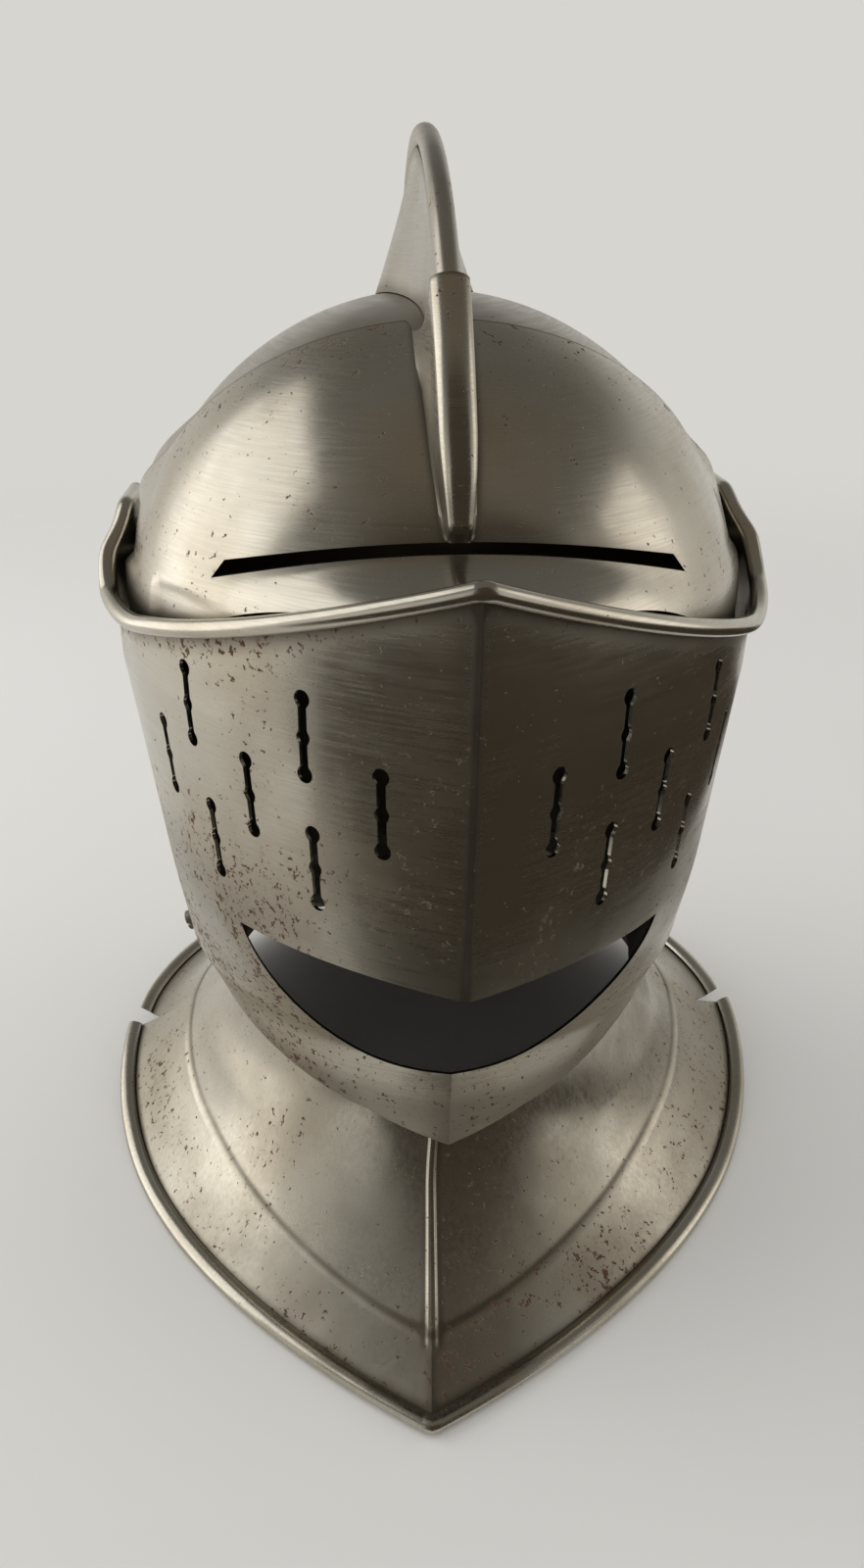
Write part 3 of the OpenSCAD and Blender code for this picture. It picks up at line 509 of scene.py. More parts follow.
def rolled_piece(name, f, u, stations, du, wear_and_shade_at, inner_wear_and_shade):
    """Outer face, the curl's two faces with a round lip, then the inner face, for each u.

    Each has its wear and painted shade: from the function of u and v for the outer face, and much painted
    shade inside the curl.
    """
    uu, vv = np.meshgrid(u, stations, indexing="ij")
    outer = f(uu, vv)
    inner = outer - SHEET * normal_at(f, uu, vv, du, STEP_V)
    end = np.full_like(u, stations[-1])
    out = normal_at(f, u, end, du, STEP_V)
    along = unit(f(u, end) - f(u, end - STEP_V))
    centre = f(u, end) + (ROLL_R - SHEET) * out

    def circle(middle, r, angles):
        a = angles[None, :, None]
        return middle[:, None] + r * (cosd(a) * out[:, None] + sind(a) * along[:, None])

    turns = np.linspace(ROLL_FROM, ROLL_TO, 18)
    lip = centre + (ROLL_R - SHEET / 2) * (cosd(ROLL_TO) * out + sind(ROLL_TO) * along)
    parts = [(outer, wear_and_shade_at(uu, vv)),
             (circle(centre, ROLL_R - SHEET, turns), CURL_INSIDE),
             (circle(lip, SHEET / 2, np.linspace(ROLL_TO - 30, ROLL_TO - 150, 4)), CURL_LIP),
             (circle(centre, ROLL_R, turns[::-1]), CURL_OUTSIDE),
             (inner[:, ::-1], inner_wear_and_shade)]
    rings = np.concatenate([part[0] for part in parts], 1)
    wear_and_shade = np.concatenate([np.broadcast_to(part[1], (*part[0].shape[:2], 2)) for part in parts], 1)
    return make_piece(name, rings, wear_and_shade)


# %% [markdown]
# The mouth opening is a crescent seen from the front, and each breath slot is a narrow cut with a
# round hole at both ends and one in the middle. Cutting them keeps the sheet's own mesh simple.

# %% Guard openings
MOUTH_TOP_Z, MOUTH_OPEN, MOUTH_HALF, MOUTH_ARCH = 142.6, 54.5, 68.5, 2.3
SLOT_SPAN, SLOT_HOLE_R, SLOT_NECK_R, SLOT_CUT = 23.0, 2.7, 1.5, 7.0
BREATH_SLOTS = [(12.9, 197.5), (24.4, 215.3), (24, 173.5), (35.2, 190.5), (47, 212.7), (45, 168.4),
                (56.3, 189.4)]


def turned_front(x, z, twist, middle_z, y0, depth):
    """Flat outline in x and z, turned about +Y by the twist, pushed towards -Y."""
    c, s = cosd(twist), sind(twist)
    flat = np.stack([x * c + z * s, np.full_like(x, y0), middle_z - x * s + z * c], -1)
    return prism(flat, np.array([0.0, -depth, 0.0]))


def mouth_opening():
    """Upper edge: a shallow arch. Lower edge: deeper by open (1 - |s|^3)^0.9."""
    high = np.linspace(-1, 1, 41)
    low = np.linspace(1, -1, 81)[1:-1]
    s = np.concatenate([high, low])
    z = MOUTH_TOP_Z - MOUTH_ARCH * s * s - TWIST_Z
    z[len(high):] -= MOUTH_OPEN * (1 - np.abs(low) ** 3) ** 0.9
    return turned_front(s * MOUTH_HALF, z, GUARD_TWIST, TWIST_Z, 0.0, 200.0)


def breath_slot(turn, z):
    """Half width of the cut: the largest of the neck, the two end holes and the middle hole."""
    here, high, low = (guard_point(turn, z + step) for step in (0, SLOT_SPAN / 2, -SLOT_SPAN / 2))
    n = normal_at(guard_point, turn, z, 0.5, 0.5)
    n = n if n[1] < 0 else -n
    along = unit(high - low)
    side = np.cross(n, along)
    reach = SLOT_SPAN / 2 + SLOT_HOLE_R
    s = -reach * np.cos(np.linspace(0, math.pi, 61))
    w = np.full_like(s, SLOT_NECK_R)
    w[np.abs(s) > SLOT_SPAN / 2] = 0
    for middle, r in ((-SLOT_SPAN / 2, SLOT_HOLE_R), (SLOT_SPAN / 2, SLOT_HOLE_R), (0.0, SLOT_HOLE_R - 0.3)):
        w = np.maximum(w, np.sqrt(np.maximum(0, r * r - (s - middle) ** 2)))
    s = np.concatenate([s, s[-2:0:-1]])
    w = np.concatenate([w, -w[-2:0:-1]])
    flat = here + s[:, None] * along + w[:, None] * side - SLOT_CUT * n
    return prism(flat, 2 * SLOT_CUT * n)


LOCK_TURN, LOCK_Z, LOCK_TILT, LOCK_SWING, LOCK_R = -86.0, 95.0, 20.0, -1.0, 2.5
LOCK_ARC, LOCK_PLAY, LOCK_CUT_X, LOCK_CUT_DEPTH = 16.0, 0.4, -131.0, 50.0
lock_place = guard_point(LOCK_TURN, LOCK_Z)


def lock_slot():
    """Part of a ring about the temple axis, round at its front end and open at the rear edge."""
    r = math.hypot(lock_place[1] - TEMPLE_Y, lock_place[2] - TEMPLE_Z)
    start = math.degrees(math.atan2(lock_place[2] - TEMPLE_Z, lock_place[1] - TEMPLE_Y))
    half = LOCK_R + LOCK_PLAY
    a = np.linspace(0, LOCK_ARC, 9) + start

    def arc(y, z, radius, angles):
        return point(LOCK_CUT_X, y + radius * cosd(angles), z + radius * sind(angles))

    front_end = arc(TEMPLE_Y + r * cosd(start), TEMPLE_Z + r * sind(start), half,
                    np.linspace(0, -180, 13)[1:-1] + start)
    flat = np.concatenate([arc(TEMPLE_Y, TEMPLE_Z, r - half, a), arc(TEMPLE_Y, TEMPLE_Z, r + half, a[::-1]),
                           front_end])
    return prism(flat, np.array([LOCK_CUT_DEPTH, 0, 0]))


# %% Face guard
def guard_wear_and_shade(turn, v):
    """A little grime, painted shade in the crease under the roll, darker along the keel, lower down and at
    the chin; rust low and to -X.
    """
    z = mix(guard_bottom(turn), guard_top(turn), v)
    from_top = z - guard_top(turn)
    # The crease under the roll is painted shade; keel, low and chin only darken the steel there.
    crease = 0.9 * ramp(from_top, -10, -2)
    keel = 0.9 * np.exp(-((turn + 0.3) / 0.9) ** 2) * ramp(z, 100, 130)
    low = 0.35 * ramp(z, 172, 146) * ramp(z, 100, 140)
    chin = 0.4 * ramp(z, 84, 72)
    grime_and_shade = 0.14 + crease + keel + low + chin
    rust = 0.42 + 0.14 * ramp(turn, 10, -50) + 0.16 * ramp(z, 185, 150) + 0.2 * ramp(from_top, -14, -6)
    return wear_and_shade_of(grime_and_shade, rust)


def make_guard():
    """The rolled sheet, with its columns crowded along the keel, and its openings."""
    turns = spaced(-GUARD_END, (-6, 119), (-5.5, 1), (5.5, 44), (6, 1), (GUARD_END, 119))
    stations = spaced(0, (0.9, 109), (1, 21))
    # The inner face is dark: partly painted shade of the inside, partly a dark interior.
    guard = rolled_piece("face_guard_plate", guard_uv, turns, stations, 0.5, guard_wear_and_shade, (0.75, 0.6))
    slots = [breath_slot(side * turn, z) for side in (-1, 1) for turn, z in BREATH_SLOTS]
    return cut(guard, [mouth_opening(), lock_slot()] + slots)


face_guard = smooth(make_guard())
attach(face_guard, "face_guard")
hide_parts("face_guard")

# %% [markdown]
# The visor is a sector about the temple axis. A hollow ridge runs up its middle to hug the comb's
# bead, and below the sight slit it turns out as a shelf that meets the guard's rim from inside. A
# ridge across an even grid would have jagged edges, so the columns bend to follow it.

# %% Visor surface
VISOR_REAR_ANGLE, REAR_ARCH = 53.3, 10.4
VISOR_LOW_ANGLE, LOW_DROP, VISOR_END = 3.0, 50.0, 4.6
VISOR_HALF_W, VISOR_HALF_L = BOWL_HALF_W + VISOR_GROW, BOWL_HALF_L + VISOR_GROW
RIDGE_TOP_R = CREST_R + RIDGE_GAP + SHEET
RIDGE_HALF_W = 5.6
RIDGE_FOOT, BEND_END = RIDGE_HALF_W + 2.6, 30.0
SIGHT_Z, SIGHT_HALF, SIGHT_TILT, SIGHT_OPEN = 267.4, 68.0, 0.8, 3.0
SIGHT_ANGLE, SIGHT_DROP = 10.6, 4.6
FLANGE_MAX = BOWL_HALF_W - 0.5


def sight_angle(x):
    """Angle of the sight slit about the temple axis, lower towards its ends."""
    return SIGHT_ANGLE - SIGHT_DROP * (np.minimum(x, SIGHT_HALF) / SIGHT_HALF) ** 2


def ridge_widths(angle):
    """Half widths of the ridge at its round top and at its base."""
    half = mix(2.6, RIDGE_HALF_W - 0.4, ramp(angle, 6, 25)) + 0.4 * clamp((angle - 25) / 20)
    return half, half + mix(0.9, 2.6, ramp(angle, 14, 45))


def ridge_height(angle, x):
    """Round top of the ridge, then a steep flank that dies out at its base."""
    full = RIDGE_TOP_R - bowl_radius(angle, 0.0, VISOR_GROW)
    tall = (full - 3 * (1 - ramp(angle, 12, 20))) * ramp(angle, 10.4, 13.1)
    half, base = ridge_widths(angle)
    d, cap = np.abs(x), np.minimum(tall, half * 0.6)
    top = tall - cap * (1 - np.sqrt(np.maximum(0, 1 - (d / half) ** 2)))
    flank = (tall - cap) * (1 - clamp((d - half) / (base - half)) ** 0.4)
    return np.where(d <= half, top, np.where(d >= base, 0, flank))


def visor_half(t, angle, side):
    """One half: an ellipsoid point at the angle, raised by the ridge or turned out to the shelf."""
    r = bowl_radius(angle, 0.0, VISOR_GROW) * sind(t)
    p = on_arc(angle, 0.0, r)
    y, z = p[..., 1], p[..., 2]
    e = ((y - BOWL_MID_Y) / VISOR_HALF_L) ** 2 + ((z - EQUATOR_Z) / (BOWL_RISE + VISOR_GROW)) ** 2
    x = VISOR_HALF_W * np.sqrt(np.maximum(0, 1 - e))
    s = seated(x, y, z, SEAT_VISOR)
    raised = on_arc(angle, s[..., 0], r + ridge_height(angle, x))
    reach = np.degrees(np.arctan2(x, BOWL_MID_Y - y))
    turn = np.degrees(np.arctan2(x / VISOR_HALF_W, (BOWL_MID_Y - y) / VISOR_HALF_L))
    below = sight_angle(x) - 0.8 - angle
    shelf = ease(below / mix(7, 10, ramp(turn, 50, 70))) * (1 - ramp(reach, 80, 93))
    tuck = 3.7 + 1.6 * ramp(turn, 25, 52) * (1 - ramp(turn, 66, 82))
    mirror = point(side, 1, 1)
    q = twisted(mirror * guard_bare(turn, z, 0.8 * guard_flare(turn, z) - tuck))
    least = np.where(turn > 60, s[..., 0], 0)
    flange = point(side * np.maximum(np.minimum(np.abs(q[..., 0]), FLANGE_MAX), least), q[..., 1], q[..., 2])
    return mix(mirror * raised, flange, shelf[..., None])


def plain_t(u):
    """Angle of an even column from the temple axis, 90 in the middle."""
    return 90 - (90 - VISOR_END) * np.abs(u)


def visor_angle(u, v):
    """Angle about the temple axis, from a lower end that drops towards the temples to the rear edge.

    The rear edge runs forward in front of the ridge as a round arch.
    """
    t = plain_t(u)
    low = VISOR_LOW_ANGLE - LOW_DROP * cosd(t) ** 5
    high = VISOR_REAR_ANGLE - REAR_ARCH * (1 - ramp(np.abs(VISOR_HALF_W * cosd(t)), 6.5, 11.5))
    return mix(low, high, v)


def visor_uv(u, v):
    """u from -1 to 1 across the helmet, v from 0 at the lower end to 1 at the rear edge.

    Near the middle the columns bend with the ridge, so that its edges run along them.
    """
    angle = visor_angle(u, v)
    plain = VISOR_HALF_W * cosd(plain_t(u))
    half, base = ridge_widths(angle)
    top, foot = RIDGE_HALF_W, RIDGE_FOOT
    bent = np.where(plain < top, plain * half / top,
                    np.where(plain < foot, mix(half, base, (plain - top) / (foot - top)),
                             base + (plain - foot) * (BEND_END - base) / (BEND_END - foot)))
    t = np.where(plain < BEND_END, np.degrees(np.arccos(clamp(bent / VISOR_HALF_W))), plain_t(u))
    return visor_half(t, angle, np.where(u < 0, -1.0, 1.0))


# %% Visor
def sight_slit():
    """Narrow lens outline, its upper edge a little shorter than its lower one."""
    s = np.linspace(-1, 1, 31)
    x_high, x_low = s * (SIGHT_HALF - 2.2), s[::-1] * (SIGHT_HALF + 2.2)
    high = SIGHT_OPEN / 2 - 10 * (x_high / 66) ** 2
    low = -SIGHT_OPEN / 2 - 12.5 * (x_low / 70) ** 2
    return turned_front(np.concatenate([x_high, x_low]), np.concatenate([high, low]), SIGHT_TILT, SIGHT_Z,
                        BOWL_MID_Y - 48, 140.0)


def visor_wear_and_shade(u, v, x):
    """Painted shade along the ridge's foot, in the slit and on the shelf; darker at the rear edge."""
    angle = visor_angle(u, v)
    over_slit = angle - sight_angle(x)
    crease = 0.8 * np.exp(-((x - ridge_widths(angle)[1]) / 1.5) ** 2) * ramp(angle, 10, 13)
    rear = 0.8 * ramp(v, 0.98, 1.0)
    slit = 0.5 * np.exp(-(over_slit / 1.6) ** 2) * (1 - ramp(x, 60, 74))
    shelf = 0.8 * ramp(-over_slit, 6, 13)
    return wear_and_shade_of(0.1 + crease + rear + slit + shelf, 0.45 + 0.2 * ramp(angle, 30, 50))


def make_visor():
    """Two faces one sheet apart, with their columns crowded along the ridge, and the slit."""
    flank = mix(RIDGE_HALF_W, RIDGE_FOOT, spaced(0, (1, 16))[1:] ** 1.6)
    beyond = spaced(RIDGE_FOOT, (13, 7), (BEND_END, 17))[1:]
    near = np.concatenate([spaced(0, (RIDGE_HALF_W, 20)), flank, beyond])
    sides = np.degrees(np.arcsin(near / VISOR_HALF_W)) / (90 - VISOR_END)
    sides = np.concatenate([sides, spaced(sides[-1], (1, 65))[1:]])
    u = np.concatenate([-sides[:0:-1], sides])
    uu, vv = np.meshgrid(u, spaced(0, (0.9, 109), (1, 15)), indexing="ij")
    outer = visor_uv(uu, vv)
    n = normal_at(visor_uv, uu, vv, 0.0006, 0.002)
    outwards = np.sign(np.median((n * (outer - [0, BOWL_MID_Y, 200])).sum(-1)))
    rings = np.concatenate([outer, (outer - SHEET * outwards * n)[:, ::-1]], 1)
    outer_wear_and_shade = visor_wear_and_shade(uu, vv, np.abs(outer[..., 0]))
    # The inner face is dark: partly painted shade of the inside, partly a dark interior.
    wear_and_shade = np.concatenate([outer_wear_and_shade, np.broadcast_to([0.8, 0.6], outer_wear_and_shade.shape)], 1)
    return cut(make_piece("visor_plate", rings, wear_and_shade), [sight_slit()])


visor = smooth(make_visor())
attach(visor, "visor")
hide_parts("visor")

# %% [markdown]
# The gorget spreads from a ring at the neck to a pointed lower edge. A border is raised along that
# edge, and a narrow ridge runs down the middle of the front plate. Mixing the two outlines keeps
# both ends where the solid plates have them.

# %% Gorget surface
GORGET_HALF_W, GORGET_FRONT, GORGET_BACK, GORGET_KEEL = 134.0, 200.0, 134.0, 40.0
GORGET_TURN, GORGET_SIDE_RISE, GORGET_FOOT_Z, GORGET_END = 4.3, 12.0, 1.66, 91.0
GORGET_MID_Y, NECK_Z, NECK_FLARE, OVERLAP_PLAY = BOWL_MID_Y + 30, 74.0, 1.65, 0.5
COLLAR_GAP = PLATE_PLAY + SHEET + OVERLAP_PLAY + SHEET


def gorget_edge_z(turn):
    """Height of the lower edge, which rises over the shoulders."""
    a = np.abs(turn)
    return GORGET_FOOT_Z + GORGET_SIDE_RISE * ramp(a, 55, 100) * (1 - ramp(a, 125, 165))


def border_v(turn):
    """Where the raised border begins, counted down the slope."""
    return mix(0.83, 0.66, ramp(np.abs(turn), 0, 58))


def gorget_point(turn, v, rear=False):
    """Mix of a neck ring and the pointed lower outline, by a power of the fall below the neck."""
    a = np.abs(turn)
    top_z = mix(NECK_Z, 92, ramp(a, 102, 116)) if rear else mix(77, 87, ramp(a, 30, 75))
    edge_z = gorget_edge_z(turn)
    z = mix(top_z, edge_z, v)
    neck = np.maximum(z, NECK_Z)
    low = outline(GORGET_HALF_W, GORGET_FRONT - GORGET_KEEL, GORGET_BACK, GORGET_KEEL, GORGET_MID_Y, turn)
    high = outline(bowl_half(neck) + COLLAR_GAP, 92, bowl_len(neck) + COLLAR_GAP, 4, BOWL_MID_Y, turn)
    spread = clamp((NECK_Z - z) / (NECK_Z - edge_z)) ** NECK_FLARE
    x, y = mix(high[0], low[0], spread), mix(high[1], low[1], spread)
    away = np.hypot(x, y - BOWL_MID_Y)
    border = 0.8 * ramp(v, border_v(turn) - 0.02, border_v(turn) + 0.02)
    ridge = 0 if rear else 1.1 * (1 - ramp(a, 0.5, 1.1)) * ramp(v, 0.02, 0.1) * (1 - ramp(v, 0.82, 0.86))
    inset = (SHEET + OVERLAP_PLAY) * mix(1, 1.7, ramp(v, 0.1, 0.55)) if rear else 0
    out = border + ridge - inset
    x, y = x + out * x / away, y + out * (y - BOWL_MID_Y) / away
    high_part = ramp(z, NECK_Z - 30, NECK_Z)
    t = GORGET_TURN * (1 - high_part * ramp(a, 35, 60))
    mid = mix(GORGET_MID_Y, BOWL_MID_Y, high_part)
    return point(x * cosd(t) + (y - mid) * sind(t), mid - x * sind(t) + (y - mid) * cosd(t), z)


def front_uv(u, v):
    """The front plate ends further forward at its neck on the +X side."""
    k = (np.abs(u) / GORGET_END) ** 4
    return gorget_point(u + k * np.where(u > 0, 3 * v - 10 * (1 - v), 2 * v), v)


def rear_uv(u, v):
    """The rear plate's front ends run forward under the front plate at the neck."""
    a = 180 - np.abs(u - 180)
    b = a - 29 * (1 - v) * (1 - ramp(a, 93, 122))
    return gorget_point(np.where(u > 180, -b, b), v, rear=True)


# %% Gorget plates
def gorget_plate(name, f, turns, rear):
    """A rolled sheet with painted shade at the border's step, along the middle ridge's foot and where it
    ends, and at the roll's foot; darker lower down.
    """
    def wear_and_shade_at(turn, v):
        step = 0.75 * np.exp(-((v - border_v(turn) + 0.012) / 0.012) ** 2)
        ridge = 0.5 * np.exp(-((np.abs(turn) - 1.4) / 0.6) ** 2) * (1 - ramp(v, 0.84, 0.88))
        crease = 0.4 * np.exp(-(turn / 0.8) ** 2) * ramp(v, 0.84, 0.88)
        middle = 0 if rear else ridge + crease
        grime_and_shade = 0.15 + step + middle + 0.75 * ramp(v, 0.95, 1.0) + 0.35 * ramp(v, 0.7, 0.9)
        return wear_and_shade_of(grime_and_shade, 0.45 + 0.16 * ramp(v, 0.45, 0.9))

    # The inner face is dark: partly painted shade of the inside, partly a dark interior.
    return rolled_piece(name, f, turns, spaced(0, (0.6, 59), (0.9, 69), (1, 13)), -0.5, wear_and_shade_at, (0.8, 0.7))


front_turns = spaced(GORGET_END, (3, 99), (2.9, 1), (-2.9, 58), (-3, 1), (-GORGET_END, 99))
gorget_front = smooth(gorget_plate("gorget_front_plate", front_uv, front_turns, False))
gorget_rear = smooth(gorget_plate("gorget_rear_plate", rear_uv, np.linspace(267, 97, 200), True))
for plate, node in ((gorget_front, "gorget_front"), (gorget_rear, "gorget_rear")):
    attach(plate, "helmet")
    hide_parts(node)

# %% [markdown]
# Screws, rivets and washers are turned shapes: a half outline goes round an axis, as on a lathe. A
# Screw modifier could do it too, but points that are worked out need no modifier applied. The
# screws' slots are cut afterwards.

# %% Turned fasteners
TURNED_SIDES = 48


def turned_piece(name, profile, place, axis):
    """Revolves (height, radius) pairs about an axis that starts at a place."""
    profile = np.array(profile, float)
    axis = unit(np.asarray(axis, float))
    side = unit(np.cross(axis, [0.0, 1.0, 0.0]))
    other = np.cross(axis, side)
    a = (np.arange(TURNED_SIDES) * 360 / TURNED_SIDES)[:, None, None]
    rings = place + profile[None, :, :1] * axis + profile[None, :, 1:] * (cosd(a) * side + sind(a) * other)
    solid = profile[0, 1] == 0 and profile[-1, 1] == 0
    return make_piece(name, rings, (0.5, 0.5), closed=True, skip=(len(profile) - 1,) if solid else ())


def screw_slot(place, axis, along, length, width, depth):
    """A box across the head, sunk from its face by the depth."""
    axis, along = unit(np.asarray(axis, float)), unit(np.asarray(along, float))
    long, wide = length / 2 * along, width / 2 * np.cross(axis, along)
    corners = [(-1, -1), (1, -1), (1, 1), (-1, 1)]
    flat = np.array([place + a * long + b * wide - depth * axis for a, b in corners])
    return prism(flat, 3 * axis * max(depth, 1.0))


print("temple screw axis at y", TEMPLE_Y, "z", TEMPLE_Z)

# %% Temple screws
SCREW_R, HEAD_R, HEAD_H, END_INSIDE = 2.5, 7.0, 2.05, 6.5
for side, word in ((-1, "left"), (1, "right")):
    start = np.array([0.0, TEMPLE_Y, TEMPLE_Z])
    tip, head = SEAT_SKULL - SHEET - END_INSIDE, SEAT_GUARD + 0.15
    profile = [(tip, 0), (tip, SCREW_R - 0.4), (tip + 0.4, SCREW_R), (head, SCREW_R), (head, HEAD_R),
               (head + 1.1, HEAD_R), (head + 1.6, HEAD_R - 0.6), (head + 2.0, HEAD_R - 2), (head + HEAD_H, 0)]
    screw = turned_piece(f"temple_screw_{word}_turned", profile, start, [side, 0, 0])
    face = start + np.array([side * (head + HEAD_H), 0, 0])
    cut(screw, [screw_slot(face, [side, 0, 0], [0, 0.3, 1], 20, 1.2, 0.9)])
    smooth(screw, 30)
    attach(screw, "helmet")
    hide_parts(f"temple_screw_{word}")

# %% Locking screw
level_part = cosd(LOCK_TILT)
lock_axis = -np.array([level_part * cosd(LOCK_SWING), level_part * sind(LOCK_SWING), sind(LOCK_TILT)])
lock_profile = [(-16, 0), (-16, 2.0), (-15.5, LOCK_R), (2.3, LOCK_R), (2.3, 3.7), (2.5, 3.9), (4.9, 3.9),
                (5.2, 3.6), (5.3, 3.0), (5.3, 0)]
lock_screw = turned_piece("lock_screw_turned", lock_profile, lock_place, lock_axis)
cut(lock_screw, [screw_slot(lock_place + 5.3 * lock_axis, lock_axis, [0, 1, 0], 12, 1.2, 1.2)])
smooth(lock_screw, 30)
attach(lock_screw, "lock_screw")
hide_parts("lock_screw")
washer_profile = [(0.95, 2.56), (2.15, 2.56), (2.2, 2.7), (2.2, 5.6), (2.0, 6.0), (1.0, 6.0), (0.9, 5.8),
                  (0.9, 2.7)]
lock_washer = smooth(turned_piece("lock_washer_turned", washer_profile, lock_place, lock_axis), 30)
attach(lock_washer, "helmet")
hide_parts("lock_washer")

# %% Gorget rivets
RIVET_R, RIVET_SPAN = 2.0, 0.055
rivet_profile = [(-4.0, 0), (-4.0, RIVET_R), (0.1, RIVET_R), (0.1, 3.8), (0.5, 3.8), (1.0, 3.5), (1.35, 2.9),
                 (1.55, 1.8), (1.6, 0)]
for turn, v, word in ((-87.5, 0.17, "left"), (75.0, 0.1, "right")):
    n = normal_at(gorget_point, turn, v, -3, RIVET_SPAN)
    above, below = (gorget_point(turn, v + step) for step in (-RIVET_SPAN, RIVET_SPAN))
    at = (above + below) / 2 + 0.1 * n
    rivet = smooth(turned_piece(f"gorget_rivet_{word}_turned", rivet_profile, at, n), 30)
    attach(rivet, "helmet")
    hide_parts(f"gorget_rivet_{word}")

# %% [markdown]
# Old polished steel is bright where hands wiped it and dull brown where moisture stood. Two effects
# are shared by all the steels, so each is a node group: fine marks from grinding, and specks and
# stains of rust. A UV map says how much grime with painted shade, and how much rust, a place has.
# Images could be painted for this, but noise has no seams and stays sharp from close by.

# %% Node helpers
def new_group(name, inputs, outputs):
    """An empty shader group, its sockets given as names and kinds, and its input and output nodes."""
    group = bpy.data.node_groups.new(name, "ShaderNodeTree")
    for in_out, sockets in (("INPUT", inputs), ("OUTPUT", outputs)):
        for label, kind in sockets.items():
            group.interface.new_socket(name=label, in_out=in_out, socket_type="NodeSocket" + kind)
    return group, group.nodes.new("NodeGroupInput"), group.nodes.new("NodeGroupOutput")


def new_material(name):
    """A material with nodes, and its node tree."""
    material = bpy.data.materials.new(name)
    material.use_nodes = True
    return material, material.node_tree


def put(tree, socket, value):
    """Links the output of another node to a socket, or sets the socket's own value."""
    if isinstance(value, bpy.types.NodeSocket):
        tree.links.new(value, socket)
    else:
        socket.default_value = value


def add(tree, kind, values=None, **settings):
    """A shader node with its settings, and values or links for its inputs."""
    node = tree.nodes.new("ShaderNode" + kind)
    for key, value in settings.items():
        setattr(node, key, value)
    for key, value in (values or {}).items():
        put(tree, node.inputs[key], value)
    return node


def calc(tree, operation, *values, clamped=False):
    """One math node; returns its output."""
    node = add(tree, "Math", dict(enumerate(values)), operation=operation, use_clamp=clamped)
    return node.outputs[0]


def band(tree, value, low, high, start=0.0, end=1.0):
    """Smooth map of a value from low..high to start..end."""
    node = add(tree, "MapRange", {"Value": value, "From Min": low, "From Max": high,
                                  "To Min": start, "To Max": end}, interpolation_type="SMOOTHSTEP")
    return node.outputs["Result"]


def noise(tree, vector, scale, detail, roughness=0.5):
    """Noise between 0 and 1."""
    node = add(tree, "TexNoise", {"Vector": vector, "Scale": scale, "Detail": detail, "Roughness": roughness})
    return node.outputs["Fac"]


def blend_colour(tree, factor, a, b):
    """Mixes two colours."""
    node = add(tree, "Mix", data_type="RGBA")
    for socket, value in zip([s for s in node.inputs if s.enabled], (factor, a, b)):
        put(tree, socket, value)
    return [s for s in node.outputs if s.enabled][0]


# %% Grinding marks
def make_grinding():
    """Long thin streaks: noise whose coordinates grow much faster across the marks than along them."""
    group, entry, leave = new_group("grinding marks", {"Vector": "Vector", "Stretch": "Vector"},
                                    {"Streaks": "Float", "Waves": "Float"})
    where = entry.outputs["Vector"]
    scaled = add(group, "VectorMath", {0: where, 1: entry.outputs["Stretch"]}, operation="MULTIPLY")
    group.links.new(noise(group, scaled.outputs[0], 1.0, 4.0, 0.65), leave.inputs["Streaks"])
    group.links.new(noise(group, where, 26.0, 2.0), leave.inputs["Waves"])
    return group


GRINDING = make_grinding()


# %% Rust specks
def make_rust():
    """Clustered specks: fine noise passes a threshold that coarse noise and the amount lower."""
    group, entry, leave = new_group("rust specks", {"Vector": "Vector", "Amount": "Float"},
                                    {"Specks": "Float", "Stain": "Float"})
    where, amount = entry.outputs["Vector"], entry.outputs["Amount"]
    patches = noise(group, where, 22.0, 3.0)
    density = calc(group, "MULTIPLY_ADD", patches, 0.24, calc(group, "MULTIPLY", amount, 0.3))
    small = band(group, calc(group, "ADD", noise(group, where, 420.0, 3.0, 0.7), density), 0.93, 0.97)
    large = band(group, calc(group, "ADD", noise(group, where, 170.0, 4.0, 0.75), density), 0.95, 0.99)
    stain = band(group, calc(group, "MULTIPLY_ADD", amount, 0.3, patches), 0.5, 0.9)
    group.links.new(calc(group, "MAXIMUM", small, large), leave.inputs["Specks"])
    group.links.new(stain, leave.inputs["Stain"])
    return group


RUST = make_rust()
# The grime tint also paints the shade in creases, hollows and on inner faces.
STAIN_TINT, GRIME_AND_SHADE_TINT, SPECK_TINT = (0.33, 0.27, 0.18, 1), (0.09, 0.075, 0.055, 1), (0.11, 0.055, 0.03, 1)


